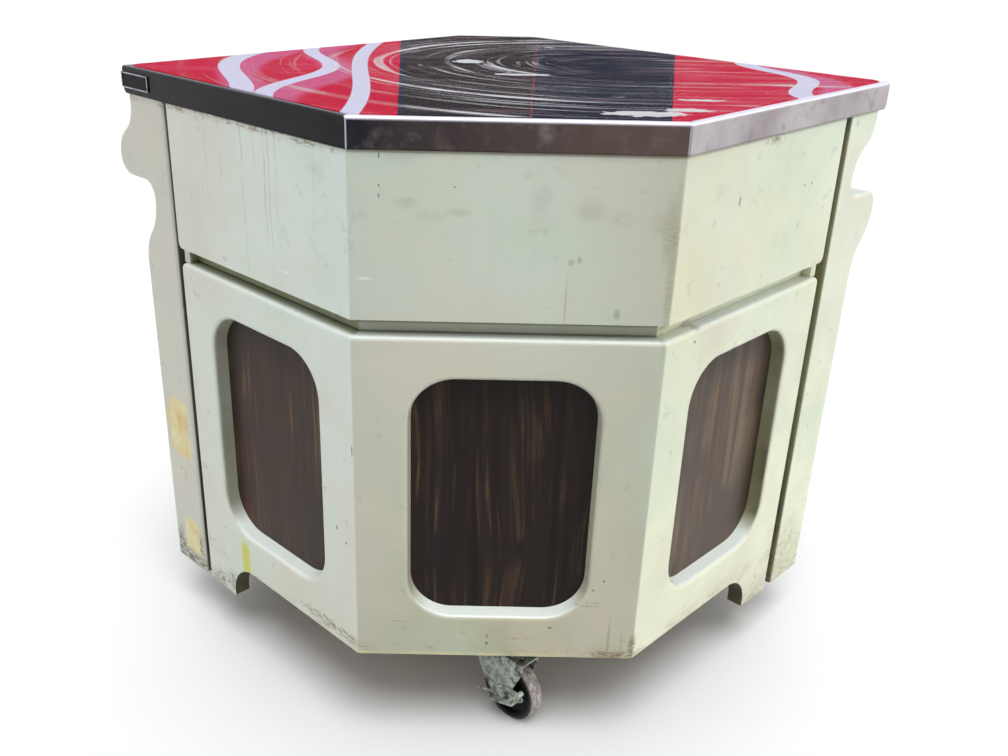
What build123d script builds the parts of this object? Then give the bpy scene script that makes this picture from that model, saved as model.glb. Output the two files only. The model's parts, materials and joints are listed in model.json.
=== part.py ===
from build123d import *
import os
from math import cos, radians, sin, tan

os.makedirs("parts", exist_ok=True)

# A mobile serving counter that turns a serving line round an outside corner.
# Three moulded faces look out at the guests, a steel top covers them, and four
# swivel casters carry a tube frame under the skirt.
# Origin: on the floor, under the middle of the counter. +Z is up and -Y is the
# front face.

# Overall sizes, in millimetres and degrees
counter_height = 914.0
front_edge = 392.0
side_edge = 505.0
end_edge = 678.0
face_turn = 45.0

# Steel top
sheet_gauge = 2.0
nosing_depth = 38.0
nosing_roll = 3.6
nosing_corner = 3.0
nosing_clip = 7.0
core_board = 18.0
fit_gap = 0.3
cut_margin = 1.0
sheet_margin = 8.0
sheet_corner = 13.0
print_gauge = 0.8
film_gauge = 0.4
film_margin = 1.0
badge_length = 72.0
badge_height = 22.0
badge_gauge = 1.2
badge_rim = 1.8
badge_rim_rise = 1.0
badge_drop = 8.0
badge_end_gap = 1.5

# Moulded body
body_overhang = 2.5
moulding_wall = 5.0
groove_height = 23.0
groove_depth = 22.0
rail_gauge = 4.0
groove_stop_depth = 14.0
groove_stop_width = 14.0
skirt_height = 159.0
foot_height = 91.0
face_corner = 5.0
shoulder_round = 6.0
end_corner_round = 9.0
strip_start = 405.0
left_joint_gap = 11.0
right_joint_gap = 16.0
foot_width = 77.0
foot_notch_round = 58.0

# Windows and their laminate panels
window_width = 250.0
window_height = 365.0
window_corner = 62.0
window_top_gap = 55.0
window_bottom_gap = 66.0
window_side_centre = 199.0
window_draft = 9.0
window_lip_round = 7.0
window_flange = 12.0
window_flange_gauge = 3.0
laminate_gauge = 6.0
laminate_margin = 11.0
clip_width = 24.0
clip_gauge = 1.5
clip_reach = 16.0
clip_spread = 70.0

# Interlocking end mouldings
end_line = 494.0
end_moulding_depth = 110.0
hook_reach = 50.0
hook_lead = 4.0
hook_start_drop = 52.0
hook_belly_drop = 133.0
hook_round = 29.0
notch_reach = 40.0
notch_round = 24.0
notch_end_drop = 290.0
end_edge_round = 6.0
joint_flange_gauge = 4.0
joint_flange_lap = 20.0

# Closing panels at the ends and the rear
panel_gauge = 12.0
panel_bottom = 130.0
panel_screw_head = 5.0
panel_screw_rise = 2.2
panel_screw_shank = 2.0
panel_screw_length = 16.0
panel_screw_rows = 4
panel_screw_end_gap = 30.0
screw_clearance = 0.25

# Tube frame, deck and posts
tube = 30.0
tube_wall = 2.5
pad_gauge = 4.0
pad_long = 116.0
pad_short = 76.0
pad_corner = 12.0
deck_gauge = 12.0
post_tube = 25.0
post_wall = 2.0
post_front_gap = 2.0
front_rail_length = 520.0
middle_rail_length = 790.0
rear_rail_length = 400.0
spine_front_end = 34.0
spine_rear_end = 800.0
front_cross_rail = 150.0
rear_cross_rail = 640.0

# Casters
wheel_diameter = 101.6
wheel_width = 24.0
hub_width = 30.0
hub_radius = 14.0
core_radius = 44.0
web_recess = 3.0
web_rim = 5.0
tread_round = 3.0
caster_height = 130.0
caster_trail = 30.0
plate_long = 95.0
plate_short = 67.0
plate_gauge = 3.0
plate_corner = 6.0
bolt_spacing_long = 75.0
bolt_spacing_short = 45.0
bolt_radius = 4.0
bolt_head_radius = 6.5
bolt_head_height = 5.0
race_radius = 27.0
race_bore = 22.0
race_drop = 6.0
yoke_gauge = 2.5
yoke_crown_drop = 15.0
yoke_race_radius = 24.0
yoke_crown_radius = 27.0
kingpin_radius = 5.0
kingpin_nut_radius = 9.0
kingpin_nut_height = 5.0
axle_radius = 5.0
axle_head_radius = 8.0
axle_head_height = 4.5
turning_fit = 0.05
lever_tilt = 20.0
lever_gauge = 2.5
lever_hub_radius = 10.5
lever_front = 46.0
lever_back = -26.0
lever_tail_start = -32.0
lever_tail_end = -60.0
lever_tail_radius = 2.2
lever_tail_drop = 4.0
lever_low = 12.5
lever_high = 8.0
lever_lip_high = 12.0
lever_tread = 14.0
lever_rib_count = 10
lever_rib_pitch = 6.0
lever_rib_width = 2.0
lever_rib_rise = 1.2

# Lower outline of a yoke leg, measured from the axle's centre
yoke_leg_front = 26.0
yoke_leg_back = 32.0
yoke_front_drop = 38.0
yoke_back_drop = 14.0
yoke_leg_low = [
    (-43.0, 2.0),
    (-32.0, -10.0),
    (-20.0, -13.5),
    (0.0, -14.0),
    (10.0, -10.0),
    (14.0, 1.0),
    (15.0, 13.0),
]

# Where the casters stand, from the front edge of the steel top
front_caster_x = 12.0
front_caster_back = 87.5
front_caster_heading = -46.1
side_caster_x = 337.5
side_caster_back = 445.5
left_caster_heading = 118.0
right_caster_heading = 20.0
rear_caster_back = 720.0
rear_caster_heading = 152.0

# Worked-out heights and directions
turn = radians(face_turn)
counter_depth = side_edge * sin(turn) + end_edge * cos(turn)
front_y = -counter_depth / 2
rear_y = counter_depth / 2
under_sheet = counter_height - sheet_gauge
under_core = under_sheet - core_board
nosing_bottom = counter_height - nosing_depth
window_middle = skirt_height + window_bottom_gap + window_height / 2
shoulder = window_middle + window_height / 2 + window_top_gap
apron_bottom = shoulder + groove_height
recess_inset = body_overhang + groove_depth
shell_depth = groove_depth + rail_gauge
left_face_length = strip_start - left_joint_gap
right_face_length = strip_start - right_joint_gap
face_length = {-1: left_face_length, 1: right_face_length}
shell_back = body_overhang + shell_depth
pad_top = caster_height + pad_gauge
frame_top = skirt_height + moulding_wall
rail_height = frame_top - pad_top
deck_top = frame_top + deck_gauge
wheel_radius = wheel_diameter / 2
ledge_height = counter_height - hook_belly_drop - hook_round
moulding_back = body_overhang + end_moulding_depth
panel_inner_line = end_line - panel_gauge
rear_inner_inset = body_overhang + panel_gauge
yoke_crown_top = caster_height - yoke_crown_drop
leg_inner = hub_width / 2 + fit_gap
leg_outer = leg_inner + yoke_gauge


# Plan helpers
def side_point(side, along, inward):
    """A plan point measured along a side face from its front corner, then inward.

    side is -1 for the left face and 1 for the right one.
    """
    x = side * (front_edge / 2 + along * cos(turn) - inward * sin(turn))
    y = front_y + along * sin(turn) + inward * cos(turn)
    return (x, y)


def front_corner(side, inward):
    """The corner of the front face and a side face, both moved inward alike."""
    return (side * (front_edge / 2 - inward * tan(turn / 2)), front_y + inward)


def rear_depth(along, rear_inset):
    """How far inward a line along an end runs before it meets the rear face."""
    return (counter_depth - rear_inset - along * sin(turn)) / cos(turn)


def plan_outline(face_inset, end_inset, rear_inset):
    """The six corners of the counter's plan, with each kind of edge moved inward."""
    along = side_edge - end_inset
    left = [front_corner(-1, face_inset), side_point(-1, along, face_inset)]
    left.append(side_point(-1, along, rear_depth(along, rear_inset)))
    right = [(-x, y) for x, y in left]
    return left + right[::-1]


def face_strip(inset, depth, left_length, right_length):
    """A band that follows the three guest faces, with square ends."""
    inner = inset + depth
    return [
        side_point(-1, left_length, inset),
        front_corner(-1, inset),
        front_corner(1, inset),
        side_point(1, right_length, inset),
        side_point(1, right_length, inner),
        front_corner(1, inner),
        front_corner(-1, inner),
        side_point(-1, left_length, inner),
    ]


def face_plane(face, inset):
    """A plane on a guest face that looks outward, with X to the right and Y up.

    Its origin is on the floor line, under the front corner of a side face or
    under the middle of the front face.
    """
    if face == 0:
        return Plane(origin=(0, front_y + inset, 0), x_dir=(1, 0, 0), z_dir=(0, -1, 0))
    x, y = side_point(face, 0, inset)
    return Plane(
        origin=(x, y, 0),
        x_dir=(cos(turn), face * sin(turn), 0),
        z_dir=(face * sin(turn), -cos(turn), 0),
    )


def window_x(face):
    """Where a window's centre line stands on its face plane."""
    return face * window_side_centre


def finish(name, builder):
    """Label a finished piece and write it under its own name."""
    builder.part.label = name
    export_step(builder.part, "parts/" + name + ".step")


# Steel top pan
with BuildPart() as top_pan:
    with BuildSketch(Plane.XY.offset(nosing_bottom)):
        with BuildLine():
            Polyline(*plan_outline(0, 0, 0), close=True)
        make_face()
    extrude(amount=nosing_depth)
    fillet(top_pan.edges().filter_by(Axis.Z), nosing_corner)
    fillet(top_pan.faces().sort_by(Axis.Z)[-1].edges(), nosing_roll)
    with BuildSketch(Plane.XY.offset(nosing_bottom)):
        with BuildLine():
            Polyline(*plan_outline(sheet_gauge, sheet_gauge, sheet_gauge), close=True)
        make_face()
    extrude(amount=nosing_depth - sheet_gauge, mode=Mode.SUBTRACT)
    for face in (-1, 1):
        with BuildSketch(face_plane(face, -cut_margin)):
            with BuildLine():
                Polyline(
                    (face * side_edge, nosing_bottom),
                    (face * (side_edge - nosing_clip), nosing_bottom),
                    (face * side_edge, nosing_bottom + nosing_clip),
                    close=True,
                )
            make_face()
        extrude(amount=-(nosing_clip + cut_margin), mode=Mode.SUBTRACT)
finish("top_pan", top_pan)

# Board that backs the steel sheet
with BuildPart() as top_core:
    with BuildSketch(Plane.XY.offset(under_core)):
        with BuildLine():
            edge = sheet_gauge + fit_gap
            Polyline(*plan_outline(edge, edge, edge), close=True)
        make_face()
    extrude(amount=core_board)
finish("top_core", top_core)


def top_covering(name, inset, bottom, gauge):
    """A thin sheet laid on the steel top, with its two sharp corners trimmed."""
    with BuildPart() as covering:
        with BuildSketch(Plane.XY.offset(bottom)):
            with BuildLine():
                Polyline(*plan_outline(inset, inset, inset), close=True)
            make_face()
        extrude(amount=gauge)
        tips = covering.edges().filter_by(Axis.Z).sort_by(Axis.X)
        chamfer([tips[0], tips[-1]], sheet_corner)
    finish(name, covering)


top_covering("graphic_sheet", sheet_margin, counter_height, print_gauge)
top_covering("clear_film", sheet_margin + film_margin, counter_height + print_gauge, film_gauge)

# Blank name plate and its raised rim on the left nosing
badge_x = -(side_edge - badge_end_gap - badge_length / 2)
badge_z = counter_height - badge_drop - badge_height / 2
with BuildPart() as badge_plate:
    with BuildSketch(face_plane(-1, 0)):
        with Locations((badge_x, badge_z)):
            Rectangle(badge_length, badge_height)
    extrude(amount=badge_gauge)
finish("badge_plate", badge_plate)

with BuildPart() as badge_frame:
    with BuildSketch(face_plane(-1, -badge_gauge)):
        with Locations((badge_x, badge_z)):
            Rectangle(badge_length, badge_height)
            Rectangle(
                badge_length - 2 * badge_rim,
                badge_height - 2 * badge_rim,
                mode=Mode.SUBTRACT,
            )
    extrude(amount=badge_rim_rise)
finish("badge_frame", badge_frame)


def face_end_edges(builder, length_left, length_right, height, inset):
    """The short horizontal edges at both outer ends of a face moulding."""
    found = []
    for side, length in ((-1, length_left), (1, length_right)):
        x, y = side_point(side, length, inset + shell_depth / 2)
        spot = Vector(x, y, height)
        found.append(builder.edges().sort_by_distance(spot)[0])
    return found


# Apron: the moulded band under the steel nosing
with BuildPart() as apron_shell:
    with BuildSketch(Plane.XY.offset(apron_bottom)):
        with BuildLine():
            Polyline(
                *face_strip(body_overhang, shell_depth, left_face_length, right_face_length),
                close=True,
            )
        make_face()
    extrude(amount=under_core - apron_bottom)
    front_lines = apron_shell.edges().filter_by(Axis.Z).group_by(Axis.Y)[0]
    fillet(front_lines, face_corner)
    low_ends = face_end_edges(
        apron_shell, left_face_length, right_face_length, apron_bottom, body_overhang
    )
    fillet(low_ends, end_corner_round)
    with BuildSketch(Plane.XY.offset(apron_bottom + moulding_wall)):
        with BuildLine():
            Polyline(
                *face_strip(
                    body_overhang + moulding_wall,
                    shell_depth,
                    left_face_length - moulding_wall,
                    right_face_length - moulding_wall,
                ),
                close=True,
            )
        make_face()
    extrude(amount=under_core - apron_bottom - 2 * moulding_wall, mode=Mode.SUBTRACT)
finish("apron_shell", apron_shell)

# Lower body: three windowed faces, two feet and a rounded shoulder
with BuildPart() as lower_shell:
    with BuildSketch(Plane.XY.offset(skirt_height)):
        with BuildLine():
            Polyline(
                *face_strip(body_overhang, shell_depth, left_face_length, right_face_length),
                close=True,
            )
        make_face()
    extrude(amount=shoulder - skirt_height)
    for side, length in face_length.items():
        with BuildSketch(face_plane(side, body_overhang)):
            with BuildLine():
                notch = length - foot_width
                notch_z = skirt_height - foot_notch_round
                Polyline(
                    (side * (notch - foot_notch_round), skirt_height),
                    (side * length, skirt_height),
                    (side * length, foot_height),
                    (side * notch, foot_height),
                    (side * notch, notch_z),
                )
                RadiusArc(
                    (side * notch, notch_z),
                    (side * (notch - foot_notch_round), skirt_height),
                    -side * foot_notch_round,
                )
            make_face()
        extrude(amount=-shell_depth)
    front_lines = lower_shell.edges().filter_by(Axis.Z).group_by(Axis.Y)[0]
    fillet(front_lines, face_corner)
    high_ends = face_end_edges(
        lower_shell, left_face_length, right_face_length, shoulder, body_overhang
    )
    fillet(high_ends, end_corner_round)
    shoulder_face = lower_shell.faces().filter_by(Axis.Z).sort_by(Axis.Z)[-1]
    outer_rim = []
    for face in (-1, 0, 1):
        middle = 0 if face == 0 else window_side_centre
        at = (0, front_y + body_overhang) if face == 0 else side_point(face, middle, body_overhang)
        outer_rim.append(shoulder_face.edges().sort_by_distance(Vector(*at, shoulder))[0])
    fillet(outer_rim, shoulder_round)
    with BuildSketch(Plane.XY.offset(skirt_height + moulding_wall)):
        with BuildLine():
            Polyline(
                *face_strip(
                    body_overhang + moulding_wall,
                    shell_depth,
                    left_face_length - moulding_wall,
                    right_face_length - moulding_wall,
                ),
                close=True,
            )
        make_face()
    extrude(amount=shoulder - skirt_height - 2 * moulding_wall, mode=Mode.SUBTRACT)
    for side, length in face_length.items():
        with BuildSketch(face_plane(side, body_overhang + moulding_wall)):
            foot_low = foot_height + moulding_wall
            foot_high = skirt_height + 2 * moulding_wall
            with Locations((side * (length - foot_width / 2), (foot_low + foot_high) / 2)):
                Rectangle(foot_width - 2 * moulding_wall, foot_high - foot_low)
        extrude(amount=-(shell_depth - 2 * moulding_wall), mode=Mode.SUBTRACT)
    for face in (-1, 0, 1):
        lip_shrink = 2 * groove_depth * tan(radians(window_draft))
        with BuildSketch(face_plane(face, recess_inset)):
            with Locations((window_x(face), window_middle)):
                RectangleRounded(
                    window_width - lip_shrink + 2 * window_flange,
                    window_height - lip_shrink + 2 * window_flange,
                    window_corner,
                )
        extrude(amount=window_flange_gauge)
        with BuildSketch(face_plane(face, body_overhang + moulding_wall)):
            with Locations((window_x(face), window_middle)):
                RectangleRounded(
                    window_width + 2 * moulding_wall - lip_shrink * moulding_wall / groove_depth,
                    window_height + 2 * moulding_wall - lip_shrink * moulding_wall / groove_depth,
                    window_corner + moulding_wall,
                )
        extrude(amount=-(groove_depth - moulding_wall), taper=window_draft)
        with BuildSketch(face_plane(face, body_overhang)):
            with Locations((window_x(face), window_middle)):
                RectangleRounded(window_width, window_height, window_corner)
        extrude(amount=-groove_depth, taper=window_draft, mode=Mode.SUBTRACT)
        lip_plane = face_plane(face, body_overhang)
        lip = [
            e
            for e in lower_shell.edges()
            if abs(lip_plane.to_local_coords(e.center()).Z) < fit_gap
            and abs(lip_plane.to_local_coords(e.center()).X - window_x(face)) < window_width / 2 + fit_gap
            and abs(lip_plane.to_local_coords(e.center()).Y - window_middle) < window_height / 2 + fit_gap
        ]
        fillet(lip, window_lip_round)
finish("lower_shell", lower_shell)

# Recessed rail that closes the groove, with a return block at each outer end
with BuildPart() as groove_rail:
    with BuildSketch(Plane.XY.offset(shoulder)):
        with BuildLine():
            Polyline(
                *face_strip(recess_inset, rail_gauge, left_face_length, right_face_length),
                close=True,
            )
        make_face()
        for side, length in face_length.items():
            stop = [
                side_point(side, length, recess_inset - groove_stop_depth),
                side_point(side, length, recess_inset),
                side_point(side, length - groove_stop_width, recess_inset),
                side_point(side, length - groove_stop_width, recess_inset - groove_stop_depth),
            ]
            with BuildLine():
                Polyline(*stop, close=True)
            make_face()
    extrude(amount=groove_height)
finish("groove_rail", groove_rail)

# Wood laminate panels behind the windows
lip_shrink = 2 * groove_depth * tan(radians(window_draft))
lip_width = window_width - lip_shrink
lip_height = window_height - lip_shrink
for face, name in ((-1, "laminate_left"), (0, "laminate_front"), (1, "laminate_right")):
    with BuildPart() as laminate:
        with BuildSketch(face_plane(face, recess_inset)):
            with Locations((window_x(face), window_middle)):
                RectangleRounded(
                    lip_width + 2 * laminate_margin,
                    lip_height + 2 * laminate_margin,
                    window_corner,
                )
        extrude(amount=-laminate_gauge)
    finish(name, laminate)

# Spring clips that grip each laminate panel to the flange round its window
clip_back = recess_inset + laminate_gauge + clip_gauge
clip_front = recess_inset - window_flange_gauge
clip_web_height = clip_back - clip_front + clip_gauge
clip_lip = window_flange - moulding_wall - clip_gauge
with BuildPart() as panel_clips:
    for face in (-1, 0, 1):
        for up in (-1, 1):
            flange_edge = window_middle + up * (lip_height / 2 + window_flange)
            spots = [(window_x(face) + shift, flange_edge) for shift in (-clip_spread, clip_spread)]
            with BuildSketch(face_plane(face, clip_back)):
                with Locations(*[(x, z + up * clip_gauge / 2) for x, z in spots]):
                    Rectangle(clip_width, clip_gauge)
            extrude(amount=clip_web_height)
            with BuildSketch(face_plane(face, clip_back)):
                with Locations(*[(x, z - up * clip_reach / 2) for x, z in spots]):
                    Rectangle(clip_width, clip_reach)
            extrude(amount=clip_gauge)
            with BuildSketch(face_plane(face, clip_front)):
                with Locations(*[(x, z - up * clip_lip / 2) for x, z in spots]):
                    Rectangle(clip_width, clip_lip)
            extrude(amount=clip_gauge)
finish("panel_clips", panel_clips)


# Interlocking end mouldings: a hook on the left end and the matching ledge on the right
def moulding_profile(side, top):
    """The S-curved outline of an end moulding, drawn on its face plane."""
    line_x = side * end_line
    belly = (line_x - hook_reach + hook_round, counter_height - hook_belly_drop)
    notch = (line_x + notch_reach - notch_round, ledge_height - notch_round)
    lead = Vector(line_x - hook_lead, counter_height - hook_start_drop)
    tip = Vector(belly[0] - hook_round, belly[1])
    heel = Vector(notch[0] + notch_round, notch[1])
    foot = Vector(line_x, counter_height - notch_end_drop)
    with BuildLine() as outline:
        Line((lead.X, top), lead)
        bulge = TangentArc(lead, (lead + tip) / 2, tangent=(0, -1))
        TangentArc(bulge @ 1, tip, tangent=bulge % 1)
        CenterArc(belly, hook_round, 180, 90)
        Line((belly[0], ledge_height), (notch[0], ledge_height))
        CenterArc(notch, notch_round, 90, -90)
        hollow = TangentArc(heel, (heel + foot) / 2, tangent=(0, -1))
        TangentArc(hollow @ 1, foot, tangent=hollow % 1)
        Polyline(
            foot,
            (line_x, foot_height),
            (side * strip_start, foot_height),
            (side * strip_start, top),
            (lead.X, top),
        )
    return outline.line


for side, name in ((-1, "left_end_moulding"), (1, "right_end_moulding")):
    with BuildPart() as end_moulding:
        with BuildSketch(face_plane(side, body_overhang)):
            make_face(moulding_profile(side, under_core))
        extrude(amount=-end_moulding_depth)
        outer_face = end_moulding.faces().sort_by(Axis((0, 0, 0), face_plane(side, 0).z_dir))[-1]
        rounded = [
            e for e in outer_face.edges()
            if foot_height + fit_gap < e.center().Z < under_core - fit_gap
        ]
        fillet(rounded, end_edge_round)
        with BuildSketch(face_plane(side, body_overhang + moulding_wall)):
            make_face(moulding_profile(side, under_core))
            offset(amount=-moulding_wall, mode=Mode.REPLACE)
        extrude(amount=-(end_moulding_depth - 2 * moulding_wall), mode=Mode.SUBTRACT)
        with BuildSketch(face_plane(side, shell_back)):
            flange_low = face_length[side] - joint_flange_lap
            flange_high = strip_start + moulding_wall
            with Locations((side * (flange_low + flange_high) / 2, (foot_height + under_core) / 2)):
                Rectangle(flange_high - flange_low, under_core - foot_height)
        extrude(amount=-joint_flange_gauge)
    finish(name, end_moulding)


def end_plane(side, along):
    """A plane across an end of the counter, looking out, with X running inward or back."""
    x, y = side_point(side, along, 0)
    return Plane(
        origin=(x, y, 0),
        x_dir=(-sin(turn), side * cos(turn), 0),
        z_dir=(side * cos(turn), sin(turn), 0),
    )


# Heights and places of the panel screws
screw_low = deck_top + panel_screw_end_gap
screw_step = (under_core - deck_top - 2 * panel_screw_end_gap) / (panel_screw_rows - 1)
screw_heights = [screw_low + row * screw_step for row in range(panel_screw_rows)]
end_columns = [
    moulding_back + post_tube / 2,
    rear_depth(panel_inner_line, rear_inner_inset) - post_tube / 2,
]
rear_post_x = side_point(1, panel_inner_line, rear_depth(panel_inner_line, rear_inner_inset))[0]
rear_columns = [-(rear_post_x - post_tube / 2), rear_post_x - post_tube / 2]
rear_plane = Plane(
    origin=(0, rear_y - body_overhang, 0), x_dir=(-1, 0, 0), z_dir=(0, 1, 0)
)
end_screw_spots = {
    side: [(side * column, z) for column in end_columns for z in screw_heights]
    for side in (-1, 1)
}
rear_screw_spots = [(column, z) for column in rear_columns for z in screw_heights]

# Clearance holes of all the panel screws, cut from the panels and the posts
with BuildPart() as screw_holes:
    for side in (-1, 1):
        with BuildSketch(end_plane(side, end_line)):
            with Locations(*end_screw_spots[side]):
                Circle(panel_screw_shank + screw_clearance)
        extrude(amount=-panel_screw_length)
    with BuildSketch(rear_plane):
        with Locations(*rear_screw_spots):
            Circle(panel_screw_shank + screw_clearance)
    extrude(amount=-panel_screw_length)

# Flat panels that close the two ends and the narrow rear
for side, name in ((-1, "left_end_panel"), (1, "right_end_panel")):
    with BuildPart() as end_panel:
        with BuildSketch(Plane.XY.offset(panel_bottom)):
            with BuildLine():
                Polyline(
                    side_point(side, end_line, moulding_back),
                    side_point(side, panel_inner_line, moulding_back),
                    side_point(
                        side, panel_inner_line, rear_depth(panel_inner_line, rear_inner_inset)
                    ),
                    side_point(side, end_line, rear_depth(end_line, rear_inner_inset)),
                    close=True,
                )
            make_face()
        extrude(amount=under_core - panel_bottom)
        add(screw_holes.part, mode=Mode.SUBTRACT)
    finish(name, end_panel)

with BuildPart() as rear_panel:
    with BuildSketch(Plane.XY.offset(panel_bottom)):
        with BuildLine():
            Polyline(
                side_point(-1, end_line, rear_depth(end_line, body_overhang)),
                side_point(1, end_line, rear_depth(end_line, body_overhang)),
                side_point(1, end_line, rear_depth(end_line, rear_inner_inset)),
                side_point(-1, end_line, rear_depth(end_line, rear_inner_inset)),
                close=True,
            )
        make_face()
    extrude(amount=under_core - panel_bottom)
    add(screw_holes.part, mode=Mode.SUBTRACT)
finish("rear_panel", rear_panel)

with BuildPart() as end_panel_screws:
    for side in (-1, 1):
        with BuildSketch(end_plane(side, end_line)):
            with Locations(*end_screw_spots[side]):
                Circle(panel_screw_head)
        extrude(amount=panel_screw_rise)
        with BuildSketch(end_plane(side, end_line)):
            with Locations(*end_screw_spots[side]):
                Circle(panel_screw_shank)
        extrude(amount=-panel_screw_length)
finish("end_panel_screws", end_panel_screws)

with BuildPart() as rear_panel_screws:
    with BuildSketch(rear_plane):
        with Locations(*rear_screw_spots):
            Circle(panel_screw_head)
    extrude(amount=panel_screw_rise)
    with BuildSketch(rear_plane):
        with Locations(*rear_screw_spots):
            Circle(panel_screw_shank)
    extrude(amount=-panel_screw_length)
finish("rear_panel_screws", rear_panel_screws)


# Tubes of the base frame, which fill the height between the pads and the deck
rail_middle = pad_top + rail_height / 2


def tube_rail(half_length, back):
    """A hollow tube across the counter, centred, at a depth from the front edge."""
    with BuildPart() as cross_rail:
        mouth = Plane(
            origin=(-half_length, front_y + back, rail_middle), x_dir=(0, 1, 0), z_dir=(1, 0, 0)
        )
        with BuildSketch(mouth):
            Rectangle(tube, rail_height)
            Rectangle(tube - 2 * tube_wall, rail_height - 2 * tube_wall, mode=Mode.SUBTRACT)
        extrude(amount=2 * half_length)
    return cross_rail


finish("cross_rail_front", tube_rail(front_rail_length / 2, front_cross_rail))
finish("cross_rail_middle", tube_rail(middle_rail_length / 2, side_caster_back))
finish("cross_rail_rear", tube_rail(rear_rail_length / 2, rear_cross_rail))

# The spine, cut into four lengths by the cross rails
spine_stops = [
    (spine_front_end, front_cross_rail - tube / 2),
    (front_cross_rail + tube / 2, side_caster_back - tube / 2),
    (side_caster_back + tube / 2, rear_cross_rail - tube / 2),
    (rear_cross_rail + tube / 2, spine_rear_end),
]
with BuildPart() as spine_rails:
    for near, far in spine_stops:
        mouth = Plane(
            origin=(0, front_y + near, rail_middle), x_dir=(1, 0, 0), z_dir=(0, 1, 0)
        )
        with BuildSketch(mouth):
            Rectangle(tube, rail_height)
            Rectangle(tube - 2 * tube_wall, rail_height - 2 * tube_wall, mode=Mode.SUBTRACT)
        extrude(amount=far - near)
finish("spine_rails", spine_rails)

# Deck board, notched round the end mouldings
with BuildPart() as base_deck:
    deck_face = body_overhang + moulding_wall + fit_gap
    deck_inner = shell_back + joint_flange_gauge + fit_gap
    deck_notch = strip_start - fit_gap
    deck_end = panel_inner_line - fit_gap
    deck_back = moulding_back + fit_gap
    halves = {}
    for side, length in face_length.items():
        deck_face_end = length - joint_flange_lap - fit_gap
        halves[side] = [
            front_corner(side, deck_face),
            side_point(side, deck_face_end, deck_face),
            side_point(side, deck_face_end, deck_inner),
            side_point(side, deck_notch, deck_inner),
            side_point(side, deck_notch, deck_back),
            side_point(side, deck_end, deck_back),
            side_point(side, deck_end, rear_depth(deck_end, rear_inner_inset + fit_gap)),
        ]
    with BuildSketch(Plane.XY.offset(frame_top)):
        with BuildLine():
            Polyline(*halves[-1], *halves[1][::-1], close=True)
        make_face()
    extrude(amount=deck_gauge)
finish("base_deck", base_deck)


# Corner posts between deck and worktop
def post_corners(side, place):
    """Plan corners of the post at one place: front, end or rear."""
    if place == "front":
        x, y = front_corner(side, shell_back)
        x -= side * post_front_gap
        return [
            (x, y), (x - side * post_tube, y),
            (x - side * post_tube, y + post_tube), (x, y + post_tube),
        ]
    if place == "end":
        low, high = panel_inner_line - post_tube, panel_inner_line
        back = moulding_back + post_tube
        return [
            side_point(side, low, moulding_back), side_point(side, high, moulding_back),
            side_point(side, high, back), side_point(side, low, back),
        ]
    corner_depth = rear_depth(panel_inner_line, rear_inner_inset)
    corner = side_point(side, panel_inner_line, corner_depth)
    return [
        corner,
        side_point(side, panel_inner_line, corner_depth - post_tube),
        side_point(side, panel_inner_line - post_tube, corner_depth - post_tube),
        (corner[0] - side * post_tube, corner[1] - post_tube),
        (corner[0] - side * post_tube, corner[1]),
    ]


for side, word in ((-1, "left"), (1, "right")):
    for place in ("front", "end", "rear"):
        with BuildPart() as post:
            with BuildSketch(Plane.XY.offset(deck_top)):
                with BuildLine():
                    Polyline(*post_corners(side, place), close=True)
                make_face()
                offset(amount=-post_wall, kind=Kind.INTERSECTION, mode=Mode.SUBTRACT)
            extrude(amount=under_core - deck_top)
            if place != "front":
                add(screw_holes.part, mode=Mode.SUBTRACT)
        finish("post_" + place + "_" + word, post)

# Caster mounting pads and the bolts that hold the caster plates to them
caster_places = {
    "front": (front_caster_x, front_y + front_caster_back, front_caster_heading, True),
    "left": (-side_caster_x, front_y + side_caster_back, left_caster_heading, False),
    "right": (side_caster_x, front_y + side_caster_back, right_caster_heading, False),
    "rear": (0, front_y + rear_caster_back, rear_caster_heading, True),
}
caster_spots = [(x, y) for x, y, heading, braked in caster_places.values()]
bolt_spots = [
    (x + right * bolt_spacing_long / 2, y + back * bolt_spacing_short / 2)
    for x, y in caster_spots
    for right in (-1, 1)
    for back in (-1, 1)
]
with BuildPart() as caster_pads:
    with BuildSketch(Plane.XY.offset(caster_height)) as pad_outline:
        with Locations(*caster_spots):
            Rectangle(pad_long, pad_short)
        chamfer(pad_outline.vertices(), pad_corner)
        with Locations(*bolt_spots):
            Circle(bolt_radius + screw_clearance, mode=Mode.SUBTRACT)
    extrude(amount=pad_gauge)
finish("caster_pads", caster_pads)

with BuildPart() as caster_bolts:
    shank_bottom = caster_height - plate_gauge
    with BuildSketch(Plane.XY.offset(shank_bottom)):
        with Locations(*bolt_spots):
            Circle(bolt_radius)
    extrude(amount=plate_gauge + pad_gauge)
    with BuildSketch(Plane.XY.offset(pad_top)):
        with Locations(*bolt_spots):
            RegularPolygon(bolt_head_radius, 6)
    extrude(amount=bolt_head_height)
    with BuildSketch(Plane.XY.offset(shank_bottom)):
        with Locations(*bolt_spots):
            RegularPolygon(bolt_head_radius, 6)
    extrude(amount=-bolt_head_height)
finish("caster_bolts", caster_bolts)


# Casters
def swivel_plane(place, height):
    """A level plane on a caster's swivel axis, with X along its trail."""
    x, y, heading, braked = caster_places[place]
    h = radians(heading)
    return Plane(origin=(x, y, height), x_dir=(cos(h), sin(h), 0), z_dir=(0, 0, 1))


def wheel_plane(place, out):
    """An upright plane square to the axle, with X along the trail and Y up.

    out is how far it stands toward the pedal side of the wheel.
    """
    x, y, heading, braked = caster_places[place]
    h = radians(heading)
    return Plane(
        origin=(x + out * sin(h), y - out * cos(h), 0),
        x_dir=(cos(h), sin(h), 0),
        z_dir=(sin(h), -cos(h), 0),
    )


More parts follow.
